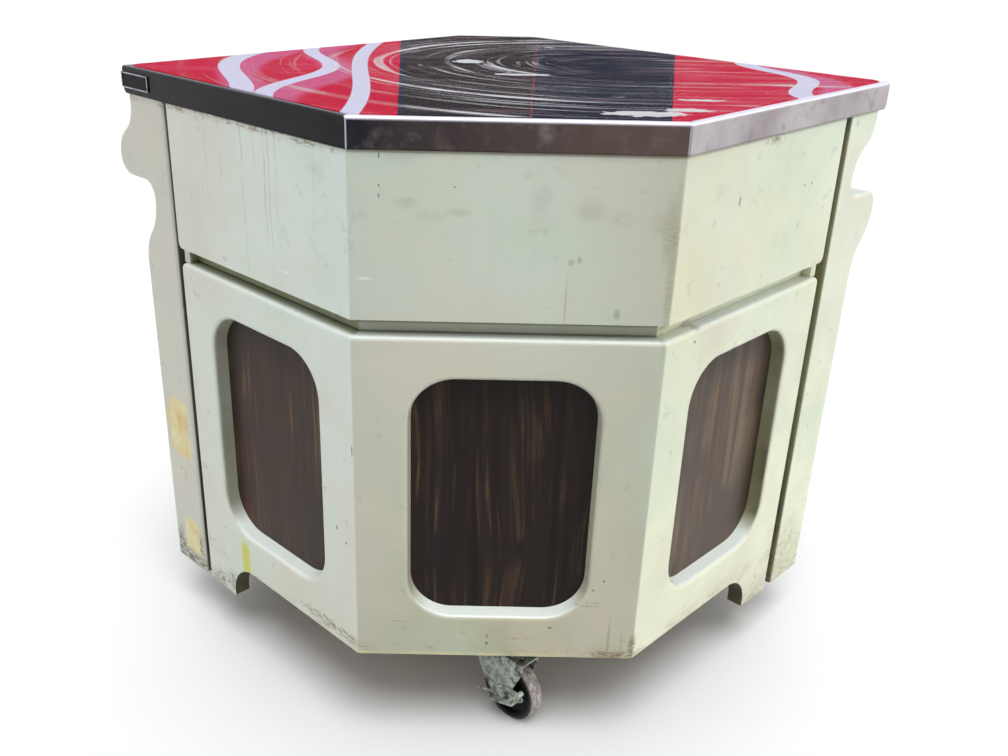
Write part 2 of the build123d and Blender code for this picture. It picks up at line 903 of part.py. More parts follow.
race_bottom = caster_height - plate_gauge - race_drop
crown_bottom = yoke_crown_top - yoke_gauge
axle_centre = (caster_trail, wheel_radius)
arm_low = -yoke_leg_front
arm_high = caster_trail + yoke_leg_back
yoke_leg_outline = [
    (arm_low, crown_bottom),
    (arm_low, yoke_crown_top - yoke_front_drop),
    *[(caster_trail + along, wheel_radius + up) for along, up in yoke_leg_low],
    (arm_high, yoke_crown_top - yoke_back_drop),
    (arm_high, crown_bottom),
]
for place, (caster_x, caster_y, heading, braked) in caster_places.items():
    plate_at = Plane.XY.offset(caster_height - plate_gauge)
    with BuildPart() as caster_plate:
        with BuildSketch(plate_at):
            with Locations((caster_x, caster_y)):
                RectangleRounded(plate_long, plate_short, plate_corner)
                with GridLocations(bolt_spacing_long, bolt_spacing_short, 2, 2):
                    Circle(bolt_radius + screw_clearance, mode=Mode.SUBTRACT)
        extrude(amount=plate_gauge)
        with BuildSketch(Plane.XY.offset(race_bottom)):
            with Locations((caster_x, caster_y)):
                Circle(race_radius)
                Circle(race_bore, mode=Mode.SUBTRACT)
        extrude(amount=race_drop)
    finish(place + "_caster_plate", caster_plate)

    with BuildPart() as kingpin:
        nut_top = crown_bottom - fit_gap
        with BuildSketch(swivel_plane(place, nut_top)):
            Circle(kingpin_radius)
        extrude(amount=caster_height - plate_gauge - nut_top)
        with BuildSketch(swivel_plane(place, nut_top)):
            RegularPolygon(kingpin_nut_radius, 6)
        extrude(amount=-kingpin_nut_height)
    finish(place + "_kingpin", kingpin)

    with BuildPart() as yoke:
        with BuildSketch(swivel_plane(place, crown_bottom)):
            Circle(yoke_crown_radius)
            with Locations(((arm_low + arm_high) / 2, 0)):
                Rectangle(arm_high - arm_low, 2 * leg_outer)
        extrude(amount=yoke_gauge)
        with BuildSketch(swivel_plane(place, yoke_crown_top)):
            Circle(yoke_race_radius)
        extrude(amount=race_bottom - fit_gap - yoke_crown_top)
        for out in (leg_outer, -leg_inner):
            with BuildSketch(wheel_plane(place, out)):
                with BuildLine():
                    Polyline(*yoke_leg_outline, close=True)
                make_face()
            extrude(amount=-yoke_gauge)
        with BuildSketch(wheel_plane(place, leg_outer)):
            with Locations(axle_centre):
                Circle(axle_radius + turning_fit)
        extrude(amount=-2 * leg_outer, mode=Mode.SUBTRACT)
        with BuildSketch(swivel_plane(place, crown_bottom)):
            Circle(kingpin_radius + turning_fit)
        extrude(amount=race_bottom - crown_bottom, mode=Mode.SUBTRACT)
    finish(place + "_yoke", yoke)

    head_face = leg_outer + fit_gap + lever_gauge + fit_gap if braked else leg_outer
    with BuildPart() as axle_bolt:
        with BuildSketch(wheel_plane(place, head_face)):
            with Locations(axle_centre):
                Circle(axle_radius)
        extrude(amount=-(head_face + leg_outer))
        with BuildSketch(wheel_plane(place, head_face)):
            with Locations(axle_centre):
                RegularPolygon(axle_head_radius, 6)
        extrude(amount=axle_head_height)
        with BuildSketch(wheel_plane(place, -leg_outer)):
            with Locations(axle_centre):
                RegularPolygon(axle_head_radius, 6)
        extrude(amount=-axle_head_height)
    finish(place + "_axle_bolt", axle_bolt)

    with BuildPart() as wheel_core:
        with BuildSketch(wheel_plane(place, wheel_width / 2)):
            with Locations(axle_centre):
                Circle(core_radius)
        extrude(amount=-wheel_width)
        for out, way in ((wheel_width / 2, -1), (-wheel_width / 2, 1)):
            with BuildSketch(wheel_plane(place, out)):
                with Locations(axle_centre):
                    Circle(core_radius - web_rim)
            extrude(amount=way * web_recess, mode=Mode.SUBTRACT)
        with BuildSketch(wheel_plane(place, hub_width / 2)):
            with Locations(axle_centre):
                Circle(hub_radius)
        extrude(amount=-hub_width)
        with BuildSketch(wheel_plane(place, hub_width / 2)):
            with Locations(axle_centre):
                Circle(axle_radius + turning_fit)
        extrude(amount=-hub_width, mode=Mode.SUBTRACT)
    finish(place + "_wheel_core", wheel_core)

    with BuildPart() as wheel_tyre:
        with BuildSketch(wheel_plane(place, wheel_width / 2)):
            with Locations(axle_centre):
                Circle(wheel_radius)
        extrude(amount=-wheel_width)
        fillet(wheel_tyre.edges().filter_by(GeomType.CIRCLE), tread_round)
        with BuildSketch(wheel_plane(place, wheel_width / 2)):
            with Locations(axle_centre):
                Circle(core_radius)
        extrude(amount=-wheel_width, mode=Mode.SUBTRACT)
    finish(place + "_wheel_tyre", wheel_tyre)

    if not braked:
        continue
    side_face = wheel_plane(place, leg_outer + fit_gap + lever_gauge)
    tilt = radians(lever_tilt)
    lever_plane = Plane(
        origin=side_face.from_local_coords((*axle_centre, 0)),
        x_dir=side_face.x_dir * cos(tilt) + Vector(0, 0, sin(tilt)),
        z_dir=side_face.z_dir,
    )
    with BuildPart() as brake_lever:
        with BuildSketch(lever_plane):
            with BuildLine():
                Polyline(
                    (lever_tail_start, -lever_tail_drop - lever_tail_radius),
                    (lever_back, -lever_low),
                    (lever_front, -lever_low),
                    (lever_front, lever_high / 2),
                    (lever_front - lever_low, lever_high),
                    (lever_back + lever_low / 2, lever_high),
                    (lever_tail_start, -lever_tail_drop + lever_tail_radius),
                    close=True,
                )
            make_face()
            Circle(lever_hub_radius)
        extrude(amount=-lever_gauge)
        with BuildSketch(lever_plane):
            with Locations(((lever_front + lever_back) / 2, lever_gauge / 2 - lever_low)):
                Rectangle(lever_front - lever_back, lever_gauge)
            lip_height = lever_lip_high + lever_low
            with Locations((lever_front - lever_gauge / 2, lip_height / 2 - lever_low)):
                Rectangle(lever_gauge, lip_height)
            for number in range(lever_rib_count):
                rib_x = lever_back + lever_rib_pitch * (number + 1)
                with Locations((rib_x, lever_gauge + lever_rib_rise / 2 - lever_low)):
                    Rectangle(lever_rib_width, lever_rib_rise)
        extrude(amount=lever_tread)
        tail_mouth = Plane(
            origin=lever_plane.from_local_coords((lever_back, -lever_tail_drop, 0)),
            x_dir=lever_plane.z_dir,
            z_dir=lever_plane.x_dir * -1,
        )
        with BuildSketch(tail_mouth):
            Circle(lever_tail_radius)
        extrude(amount=lever_back - lever_tail_end)
        with BuildSketch(lever_plane):
            Circle(axle_radius + turning_fit)
        extrude(amount=-lever_gauge, mode=Mode.SUBTRACT)
    finish(place + "_brake_lever", brake_lever)
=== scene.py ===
# %% [markdown]
# A mobile serving counter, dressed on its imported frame.
#
# The counter turns a serving line round a corner. It has a steel top with a printed sheet
# under clear film, a pale moulded body with three dark wood panels, and casters below.
# The frame brings every piece at its real size and place. This lesson gives each piece its
# finish, adds the surfaces that a plain solid can't show, and sets up the studio.

# %% Load the frame
import json
import math

import bmesh
import bpy
import numpy as np
from mathutils import Matrix, Vector


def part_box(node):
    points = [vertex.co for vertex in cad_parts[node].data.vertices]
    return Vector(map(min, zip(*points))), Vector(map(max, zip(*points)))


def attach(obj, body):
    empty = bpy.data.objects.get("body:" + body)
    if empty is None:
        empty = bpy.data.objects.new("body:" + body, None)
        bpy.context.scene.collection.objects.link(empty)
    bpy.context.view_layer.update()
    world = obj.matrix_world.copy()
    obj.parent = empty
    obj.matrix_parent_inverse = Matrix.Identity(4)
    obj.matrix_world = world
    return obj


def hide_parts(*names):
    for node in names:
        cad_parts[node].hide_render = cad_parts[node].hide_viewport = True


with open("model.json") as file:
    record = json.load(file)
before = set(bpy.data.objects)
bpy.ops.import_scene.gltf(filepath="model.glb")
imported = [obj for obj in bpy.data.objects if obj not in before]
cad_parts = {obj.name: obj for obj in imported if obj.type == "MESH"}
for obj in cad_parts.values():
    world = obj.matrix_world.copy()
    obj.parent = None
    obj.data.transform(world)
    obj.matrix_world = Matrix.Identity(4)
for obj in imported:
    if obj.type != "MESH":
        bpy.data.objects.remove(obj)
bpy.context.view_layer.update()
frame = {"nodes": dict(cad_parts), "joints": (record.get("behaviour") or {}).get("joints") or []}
node = frame["nodes"]

# %% [markdown]
# Everything is placed from the frame. The steel top gives the plan: its front edge, and two
# side edges that turn back at 45 degrees. The three guest faces lie a little inside them.
# So each point has three depths, one behind each face, and the face with the smallest
# depth is the face it belongs to. The same sums serve the shapes and the finishes. Along a
# side face the guest face ends first, then comes the joint, and then the end's strip.

# %% Read the driving places from the frame
top_low, top_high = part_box("top_pan")
front_y = top_low.y
steel_top = top_high.z
nosing_low = top_low.z
front_half = 0.196
body_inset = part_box("apron_shell")[0].y - front_y
guest_end, foot_end, joint_middle = 0.392, 0.38, 0.4035
groove_middle, shoulder_low, skirt_low = 0.6565, 0.64, 0.16
HALF_ROOT = math.sqrt(0.5)
print("front edge at", round(front_y, 4), "steel top at", round(steel_top, 4))

# %% [markdown]
# A finish is a small graph of nodes. Writing one is easier with a helper that adds a node,
# feeds its sockets with numbers, colours or other sockets, and hands back its result. A mask
# is a number from 0 to 1 at every point, and a finish gets its colour in coats, one under
# each mask. Every pattern reads Object coordinates, so it stays on its piece when it moves.

# %% Helpers for colours and objects


def paint(hex_colour):
    """The linear colour of a #RRGGBB shade: each channel goes through the sRGB curve."""
    channels = [int(hex_colour[i:i + 2], 16) / 255 for i in (1, 3, 5)]
    linear = [c / 12.92 if c <= 0.04045 else ((c + 0.055) / 1.055) ** 2.4 for c in channels]
    return (*linear, 1)


def stand(name, data):
    """A new object that shows some data, linked into the scene."""
    made = bpy.data.objects.new(name, data)
    bpy.context.collection.objects.link(made)
    return made


# %% A helper for node graphs


class Graph:
    """Shader nodes being joined up: each method adds nodes and returns their result."""

    def __init__(self, tree):
        tree.nodes.clear()
        self.tree = tree

    def feed(self, socket, value):
        """Join a socket to another one, or store a number or a #RRGGBB shade in it."""
        if isinstance(value, bpy.types.NodeSocket):
            self.tree.links.new(value, socket)
        else:
            socket.default_value = paint(value) if isinstance(value, str) else value

    def add(self, kind, inputs=(), **settings):
        """Add a node, set it up, feed its inputs in turn or by name, and return its outputs."""
        made = self.tree.nodes.new("ShaderNode" + kind)
        for name, value in settings.items():
            setattr(made, name, value)
        for socket, value in (inputs.items() if isinstance(inputs, dict) else enumerate(inputs)):
            self.feed(made.inputs[socket], value)
        return made.outputs

    def math(self, operation, *values):
        return self.add("Math", values, operation=operation)[0]

    def plus(self, first, second):
        return self.math("ADD", first, second)

    def minus(self, first, second):
        return self.math("SUBTRACT", first, second)

    def scaled(self, value, factor, added):
        """value * factor + added."""
        return self.math("MULTIPLY_ADD", value, factor, added)

    def below(self, value, limit):
        return self.math("LESS_THAN", value, limit)

    def both(self, *masks):
        """Where every mask holds: their product."""
        result = masks[0]
        for mask in masks[1:]:
            result = self.math("MULTIPLY", result, mask)
        return result

    def either(self, *masks):
        """Where any mask holds: their maximum."""
        result = masks[0]
        for mask in masks[1:]:
            result = self.math("MAXIMUM", result, mask)
        return result

    def span(self, value, low, high, to_low=0.0, to_high=1.0, smooth=False):
        """Map a value from one range to another, held inside its ends."""
        kind = "SMOOTHSTEP" if smooth else "LINEAR"
        return self.add("MapRange", (value, low, high, to_low, to_high), interpolation_type=kind)[0]

    def near(self, value, centre, half, soft):
        """1 within half of a centre, falling to 0 over the soft width outside it."""
        away = self.math("ABSOLUTE", self.minus(value, centre))
        return self.span(away, half + soft, half, smooth=True)


# %% A helper for finishes


class Finish(Graph):
    """A material being built. Patterns make masks, and coats of colour make its shade."""

    def __init__(self, name, **settings):
        self.material = bpy.data.materials.new(name)
        self.material.use_nodes = True
        super().__init__(self.material.node_tree)
        self.shader = self.tree.nodes.new("ShaderNodeBsdfPrincipled")
        self.add("OutputMaterial", {"Surface": self.shader.outputs[0]})
        coordinates = self.add("TexCoord")
        self.place, self.normal = coordinates["Object"], coordinates["Normal"]
        self.shade = None
        self.set(**settings)

    def set(self, **settings):
        """Feed the shader's own sockets, such as Roughness=0.4."""
        for name, value in settings.items():
            self.feed(self.shader.inputs[name.replace("_", " ")], value)

    def axes(self, place=None):
        """The x, y and z of a place."""
        return self.add("SeparateXYZ", (place or self.place,))

    def join(self, x, y, z=0.0):
        return self.add("CombineXYZ", (x, y, z))[0]

    def noise(self, scale, detail=4.0, rough=0.55, place=None, swirl=0.0):
        """Soft noise with so many waves a metre. Three numbers stretch it along small ones."""
        if isinstance(scale, tuple):
            place, scale = self.add("VectorMath", (self.place, scale), operation="MULTIPLY")[0], 1.0
        return self.add("TexNoise", {
            "Vector": place or self.place, "Scale": scale, "Detail": detail, "Roughness": rough,
            "Distortion": swirl,
        })["Fac"]

    def cells(self, scale):
        """The distance to the nearest of scattered points, so many a metre."""
        return self.add("TexVoronoi", {"Vector": self.place, "Scale": scale})["Distance"]

    def mix(self, amount, first, second):
        """From a first colour to a second one as the amount grows from 0 to 1."""
        return self.add("Mix", {0: amount, 6: first, 7: second}, data_type="RGBA")[2]

    def over(self, shade, colour, *masks):
        """A shade with a colour over it where every mask holds."""
        return self.mix(self.both(*masks), shade, colour)

    def lay(self, colour, *masks):
        """One more coat on the finish's own shade, where every mask holds."""
        self.shade = self.over(self.shade, colour, *masks)

    def bump(self, height, depth, strength, under=None):
        """A normal tilted by a height pattern, over another one if there is one under it."""
        inputs = {"Height": height, "Strength": strength, "Distance": depth}
        if under is not None:
            inputs["Normal"] = under
        return self.add("Bump", inputs)[0]

    def faces(self):
        """Which side face a point is on, its distances along the faces, height and recess.

        The recess is the smallest depth behind the three faces: 0 on a face, more in a
        groove, a joint or a window.
        """
        x, y, z = self.axes()
        back = self.minus(y, front_y)
        lean = {"left": self.plus(back, x), "right": self.minus(back, x)}
        depth = {side: self.both(self.plus(lean[side], front_half), HALF_ROOT) for side in lean}
        along = {
            "left": self.both(self.minus(lean["right"], front_half), HALF_ROOT),
            "front": x,
            "right": self.both(self.minus(lean["left"], front_half), HALF_ROOT),
        }
        on = {side: self.span(self.minus(back, depth[side]), -0.0008, 0.0012) for side in lean}
        nearest = self.math("MINIMUM", back, self.math("MINIMUM", depth["left"], depth["right"]))
        return on, along, z, self.minus(nearest, body_inset)

    def wear(self, *names):
        """Put the finish on CAD nodes. A shade that was laid in coats is fed in first."""
        if self.shade is not None:
            self.set(Base_Color=self.shade)
        for name in names:
            piece = node[name]
            piece.data.materials.clear()
            piece.data.materials.append(self.material)
        print(self.material.name, "on", len(names), "nodes")


# %% [markdown]
# The camera stands where the photographer stood. The photograph's straight edges were
# solved for the place, the turn and the focal length, so the same edges fall on the same
# pixels. A small shift moves the view's centre, because the picture is a crop.

# %% Set up the camera
picture_width, picture_height = 1008, 756
focal_pixels = 1030.73
view_centre = (457.376, 383.977)
camera_place = Vector((-0.0668, front_y - 1.1732, steel_top + 0.2112))
heading, tilt_down, roll = 0.004021, 0.430822, 0.022318

forward = Vector((
    math.sin(heading) * math.cos(tilt_down),
    math.cos(heading) * math.cos(tilt_down),
    -math.sin(tilt_down),
))
level_right = Vector((math.cos(heading), -math.sin(heading), 0))
level_up = level_right.cross(forward)
right = math.cos(roll) * level_right + math.sin(roll) * level_up
up = -math.sin(roll) * level_right + math.cos(roll) * level_up

lens_data = bpy.data.cameras.new("camera")
lens_data.sensor_width = 36
lens_data.lens = lens_data.sensor_width * focal_pixels / picture_width
lens_data.shift_x = (picture_width / 2 - view_centre[0]) / picture_width
lens_data.shift_y = (view_centre[1] - picture_height / 2) / picture_width
camera = stand("camera", lens_data)
turn_matrix = Matrix((right, up, -forward)).transposed()
camera.matrix_world = Matrix.Translation(camera_place) @ turn_matrix.to_4x4()
bpy.context.scene.camera = camera
print("lens", round(lens_data.lens, 2), "mm")

# %% [markdown]
# A new piece is a surface: rows and columns of points worked out as whole arrays. Four
# neighbouring points make a face. A ring closes on itself when its last column joins its
# first one, and a pole closes when all the points of a row fall together and are merged.

# %% Helpers for surfaces
SAME_POINT = 1e-6


def grid_faces(rows, columns, wrap_rows=False, wrap_columns=False):
    """Quads of a grid: each point with its neighbours in the next row and column."""
    r = np.arange(rows if wrap_rows else rows - 1)[:, None]
    c = np.arange(columns if wrap_columns else columns - 1)[None, :]
    next_r, next_c = (r + 1) % rows, (c + 1) % columns
    corners = [r * columns + c, r * columns + next_c, next_r * columns + next_c, next_r * columns + c]
    return np.stack([np.broadcast_to(k, (r.size, c.size)).ravel() for k in corners], axis=1)


def make_piece(name, points, faces, finish, body, closed=True, sharp=40):
    """A mesh piece from points and faces. A closed one is merged and turned outwards."""
    mesh = bpy.data.meshes.new(name)
    mesh.from_pydata(np.asarray(points).reshape(-1, 3).tolist(), [], np.asarray(faces).tolist())
    if closed:
        work = bmesh.new()
        work.from_mesh(mesh)
        bmesh.ops.remove_doubles(work, verts=work.verts, dist=SAME_POINT)
        bmesh.ops.recalc_face_normals(work, faces=work.faces)
        work.to_mesh(mesh)
        work.free()
    mesh.shade_smooth()
    mesh.set_sharp_from_angle(angle=math.radians(sharp))
    mesh.materials.append(finish.material)
    piece = stand(name, mesh)
    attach(piece, body)
    print(name, "has", len(mesh.polygons), "faces")
    return piece


def mesh_points(piece):
    """The points of a mesh object, three numbers each."""
    points = np.empty(len(piece.data.vertices) * 3)
    piece.data.vertices.foreach_get("co", points)
    return points.reshape(-1, 3)


def write_map(piece, name, pairs):
    """Keep two numbers of each point as a UV map: every face corner gets its point's pair."""
    corners = np.empty(len(piece.data.loops), dtype=np.int32)
    piece.data.loops.foreach_get("vertex_index", corners)
    uv_map = piece.data.uv_layers.new(name=name)
    uv_map.data.foreach_set("uv", pairs[corners].astype(np.float32).ravel())


# %% [markdown]
# The studio is a white room. A soft lamp overhead lights the top and the window sills, one
# from the right makes the right face the brightest, and a weaker one fills the left. Those
# two leave the floor out, and a very wide lamp lights the floor alone, so that the shadow
# under the counter is short and soft on all sides. All four are suns, so the floor is lit
# evenly and stays white to the horizon. The world adds a soft sky, and shows plain white to
# the camera and in reflections.

# %% Lamps and world


def sun(name, toward, strength, spread, colour=(1, 1, 1)):
    """A sun lamp that shines from a direction, with a wide disc for soft shadows."""
    data = bpy.data.lights.new(name, "SUN")
    data.energy = strength * math.pi
    data.angle = math.radians(spread)
    data.color = colour
    made = stand(name, data)
    made.rotation_euler = (-Vector(toward)).to_track_quat("-Z", "Y").to_euler()
    return made


sun("overhead", (0.05, -0.4, 1.0), 0.6, 34)
key = sun("key_right", (0.85, -0.25, 0.34), 0.47, 34, (1.0, 0.995, 0.96))
fill = sun("fill_left", (-0.8, -0.2, 0.55), 0.38, 40, (0.97, 0.99, 1.0))
wide = sun("wide_floor", (0.3, -0.1, 1.0), 0.4, 150, (0.97, 0.985, 1.0))

world = bpy.data.worlds.new("studio")
world.use_nodes = True
bpy.context.scene.world = world
sky = Graph(world.node_tree)
rays = sky.add("LightPath")
seen = sky.either(*[rays[name] for name in ("Is Camera Ray", "Is Glossy Ray", "Is Transmission Ray")])
soft_sky = sky.add("Background", {"Color": (0.95, 0.98, 1, 1), "Strength": 0.22})
white_room = sky.add("Background", {"Color": (1, 1, 1, 1)})
shown = sky.add("MixShader", (seen, soft_sky[0], white_room[0]))
sky.add("OutputWorld", (shown[0],))
bpy.context.scene.view_settings.view_transform = "Standard"
print("lamps:", [lamp.name for lamp in bpy.data.lights])

# %% [markdown]
# The floor is one large pale sheet. It takes the counter's shadow. A little glow that only
# the camera sees lifts the open floor to white without lighting the counter.

# %% Floor
floor_half = 30.0
floor_corners = np.array([[-1, -1, 0], [1, -1, 0], [1, 1, 0], [-1, 1, 0]]) * floor_half
floor_mesh = bpy.data.meshes.new("floor")
floor_mesh.from_pydata(floor_corners.tolist(), [], [(0, 1, 2, 3)])
floor = stand("floor", floor_mesh)
ground = Finish("studio_floor", Base_Color=(0.84, 0.84, 0.845, 1), Roughness=0.95)
ground.set(Specular_IOR_Level=0.0)
camera_ray = ground.add("LightPath")["Is Camera Ray"]
ground_x, ground_y, _ = ground.axes()
from_middle = ground.math(
    "SQRT", ground.plus(ground.both(ground_x, ground_x), ground.both(ground_y, ground_y))
)
# The glow is nil within 0.3 m of the middle and full from 0.9 m, so the floor round the counter stays
# darker: a painted shade round its shadow.
glow = ground.span(from_middle, 0.3, 0.9, 0.0, 0.12, smooth=True)
ground.set(Emission_Color=(1, 1, 1, 1))
ground.set(Emission_Strength=ground.both(camera_ray, glow))
floor_mesh.materials.append(ground.material)
for lamp, state in ((key, "EXCLUDE"), (fill, "EXCLUDE"), (wide, "INCLUDE")):
    receivers = bpy.data.collections.new(lamp.name + "_receivers")
    receivers.objects.link(floor)
    receivers.collection_objects[0].light_linking.link_state = state
    lamp.light_linking.receiver_collection = receivers
print("floor is", 2 * floor_half, "m wide, lit by the overhead and the wide lamp")

# %% [markdown]
# The body is moulded plastic, once ivory, now greened by age. Each guest face has its own
# shade: the left is cooler, the front is grubbier and the right is yellower, as they aged in
# different light. These shades also carry painted light: the front is painted darker and
# the right lighter, for the light each face gets. The finish finds the face from the
# depths, then lays soft clouds of pink-grey and green over it, the way old plastic turns.

# %% The moulded body's shades
body = Finish("ivory_moulding")
on, along, height, recess = body.faces()
facing_up = body.span(body.axes(body.normal)[2], 0.35, 0.85)
clouds = body.noise(3.4, 4.0, 0.55)
blotches = body.noise(8.0, 5.0, 0.6)
fine = body.noise(34.0, 5.0, 0.6)
weather = body.noise((55.0, 55.0, 4.0), 4.0, 0.6)
low_down = body.span(height, 0.72, 0.17)

front_shade = body.mix(low_down, "#BEC4B6", "#A5A389")
front_shade = body.over(front_shade, "#AFAD9B", body.span(along["front"], 0.04, 0.19, 0, 0.7))
front_shade = body.over(front_shade, "#B2B3A8", body.span(along["front"], -0.06, -0.19, 0, 0.5))
left_shade = body.mix(body.span(along["left"], 0.02, 0.4), "#C8D1CB", "#C6CCBF")
left_shade = body.over(left_shade, "#C6C9BB", low_down)
left_shade = body.over(left_shade, "#B9BAAE", body.span(along["left"], 0.398, 0.412))
right_shade = body.mix(body.span(along["right"], 0.0, 0.45), "#D0D3BC", "#D8DECA")
right_shade = body.over(right_shade, "#DDE2C6", low_down)
# The face shades carry painted light as well as colour: darker on the front, lighter on the right.
body.shade = body.mix(on["left"], front_shade, left_shade)
body.lay(right_shade, on["right"])
body.lay("#C4B9AC", body.span(clouds, 0.5, 0.66, 0.0, 0.5))
body.lay("#B4C7B4", body.span(clouds, 0.5, 0.34, 0.0, 0.45))
body.lay("#C9BFA6", body.span(blotches, 0.5, 0.7, 0.0, 0.28))
body.lay("#A9A48F", body.span(weather, 0.54, 0.78, 0.0, 0.1))
print("body shades by face")

# %% [markdown]
# Sills and ledges that face up are painted paler: a painted highlight for the light that
# falls from above. The end joints, the groove and the sides of the window wells are painted
# darker: dirt where a cloth doesn't reach, and painted shade in the recesses. The recess
# finds those places, and each face gets its own strength.

# %% Dirt and painted shade in the recesses


def by_face(left, front, right):
    """One number for each guest face: front, plus the step to the side that a point is on."""
    value = body.scaled(on["left"], left - front, front)
    return body.scaled(on["right"], right - front, value)


outward = body.either(along["left"], along["right"])
upright = body.minus(1.0, facing_up)
look_x, look_y, _ = body.axes(body.normal)
look_left = body.both(body.plus(look_x, look_y), -HALF_ROOT)
look_right = body.both(body.minus(look_x, look_y), HALF_ROOT)
look_front = body.both(look_y, -1.0)
looks_out = body.scaled(on["left"], body.minus(look_left, look_front), look_front)
looks_out = body.scaled(on["right"], body.minus(look_right, look_front), looks_out)
side_wall = body.span(looks_out, 0.85, 0.45)
# Up-facing sills and ledges in the recesses are painted paler: a painted highlight from above.
body.lay("#DCE3DE", facing_up, body.span(recess, 0.0005, 0.003))
in_groove = body.both(body.near(height, groove_middle, 0.0118, 0.0006), body.below(outward, guest_end))
# Olive in the groove, strongest on the left: dirt and painted shade.
groove_dirt_and_shade = body.both(in_groove, body.span(recess, 0.006, 0.015), by_face(0.85, 0.26, 0.0))
body.lay("#77794C", groove_dirt_and_shade)
# A dark band just under the apron's edge: the apron's painted shadow on the rail.
groove_roof_shadow = body.both(
    in_groove, body.span(height, groove_middle - 0.0005, groove_middle + 0.0035),
    body.span(recess, 0.014, 0.018),
)
body.lay("#2C2B1B", groove_roof_shadow, by_face(0.7, 0.85, 0.45))
# A dark line at the groove's foot: painted shade.
groove_foot_shade = body.both(
    body.near(height, groove_middle - 0.011, 0.001, 0.0012), body.span(recess, 0.0185, 0.0215),
    body.below(outward, guest_end),
)
body.lay("#23221A", groove_foot_shade, by_face(0.8, 0.55, 0.15))

# The side walls of the window wells are painted dark olive, darkest by the outer rim: dirt and painted
# shade.
well = body.both(
    side_wall, upright, body.span(recess, 0.0004, 0.003),
    body.below(height, shoulder_low), body.below(outward, foot_end),
)
well_mottle = body.span(body.noise(12.0, 4.0, 0.6), 0.3, 0.6, 0.8, 1.0)
well_shade = body.mix(body.span(recess, 0.004, 0.018), "#514C2A", "#6B6640")
body.lay(well_shade, well, well_mottle, by_face(0.66, 0.22, 0.94))
# The walls of the foot arches are painted almost black: painted shade under the skirt.
foot_arch_shade = body.both(
    body.span(height, skirt_low + 0.006, skirt_low - 0.004), body.below(outward, foot_end),
    body.either(body.span(looks_out, 0.75, 0.35), body.span(recess, 0.0012, 0.0035)),
)
body.lay("#1D1A0C", foot_arch_shade, 0.95)
print("recesses darkened")

# %% Dirt and painted shade in the end joints
joint_wall = body.both(
    body.near(outward, joint_middle, 0.0088, 0.0014),
    body.span(recess, by_face(0.0026, 0.0004, 0.0004), by_face(0.0046, 0.0016, 0.0016)),
)
# The joint walls are painted dark olive, darker at the bottom and under the nosing: dirt and painted
# shade.
joint_shade = body.mix(on["left"], "#5F5E34", "#3B3A24")
joint_shade = body.over(joint_shade, "#1A1206", body.span(height, 0.42, 0.16))
joint_shade = body.over(joint_shade, "#2A2A1E", body.span(height, 0.84, 0.885))
body.lay(joint_shade, joint_wall, 0.94)
# A thin olive line just under the nosing on the front and right: a painted shadow.
nosing_shadow_line = body.both(body.near(height, nosing_low - 0.0008, 0.0012, 0.0022), by_face(0.0, 0.65, 0.45))
body.lay("#6E6844", nosing_shadow_line)
print("joints darkened")

# %% [markdown]
# Years of hands and trolleys left smudges at hip height, fine dark specks, hairline
# scratches, and a grubby hem that is worst on the feet. A mask is a noise field cut off
# at a level, and two masks multiplied keep the marks in loose groups.

# %% Smudges, specks and the hem
smudge_field = body.noise((15.0, 15.0, 26.0), 4.0, 0.6)
smudge = body.both(
    body.span(smudge_field, 0.6, 0.7), body.span(height, 0.66, 0.74), body.span(fine, 0.3, 0.6, 0.5, 1.0)
)
body.lay("#8F8A7C", smudge, 0.16)
speck_spots = body.span(body.cells(190.0), 0.11, 0.05)
speck_field = body.span(body.noise(14.0, 3.0), 0.6, 0.66)
body.lay("#544C3C", speck_spots, speck_field, 0.75)
grit = body.noise((75.0, 75.0, 260.0), 4.0, 0.7, swirl=0.4)
grit_field = body.noise(20.0, 4.0, 0.6)
foot_hem = body.both(body.span(height, 0.135, 0.098), body.span(grit_field, 0.36, 0.58, 0.25, 1.0))
skirt_hem = body.both(
    body.near(height, skirt_low + 0.005, 0.006, 0.016), body.span(grit_field, 0.46, 0.62),
    by_face(0.5, 0.6, 0.6),
)
hem = body.either(foot_hem, skirt_hem)
hem_grit = body.both(hem, body.span(grit, 0.5, 0.66))
body.lay("#A39A72", hem, 0.3)
body.lay("#4A4130", hem_grit, 0.8)
hem_breaks = body.noise((24.0, 24.0, 60.0), 3.0)
cream_edge = body.both(
    body.near(height, skirt_low + 0.0005, 0.0022, 0.002), body.span(hem_breaks, 0.4, 0.52),
    body.below(outward, 0.3), by_face(0.3, 0.6, 0.2),
)
body.lay("#C9C08A", cream_edge)
scratch_field = body.noise((26.0, 26.0, 340.0), 3.0, 0.6, swirl=0.3)
scratches = body.both(body.span(scratch_field, 0.715, 0.73), body.span(blotches, 0.5, 0.56))
body.lay("#6B6450", scratches, 0.6)
print("smudges, specks and hem laid")

# %% [markdown]
# Some marks have places of their own, read off the photograph once and written here as
# sizes on a face: grey runs below the left nosing, old tape on the left strip, a crayon
# smear by the left foot, chips, rubs and screw marks. A small mark is a soft oval. Its row
# gives its middle along the face and up, and its half width and half height.

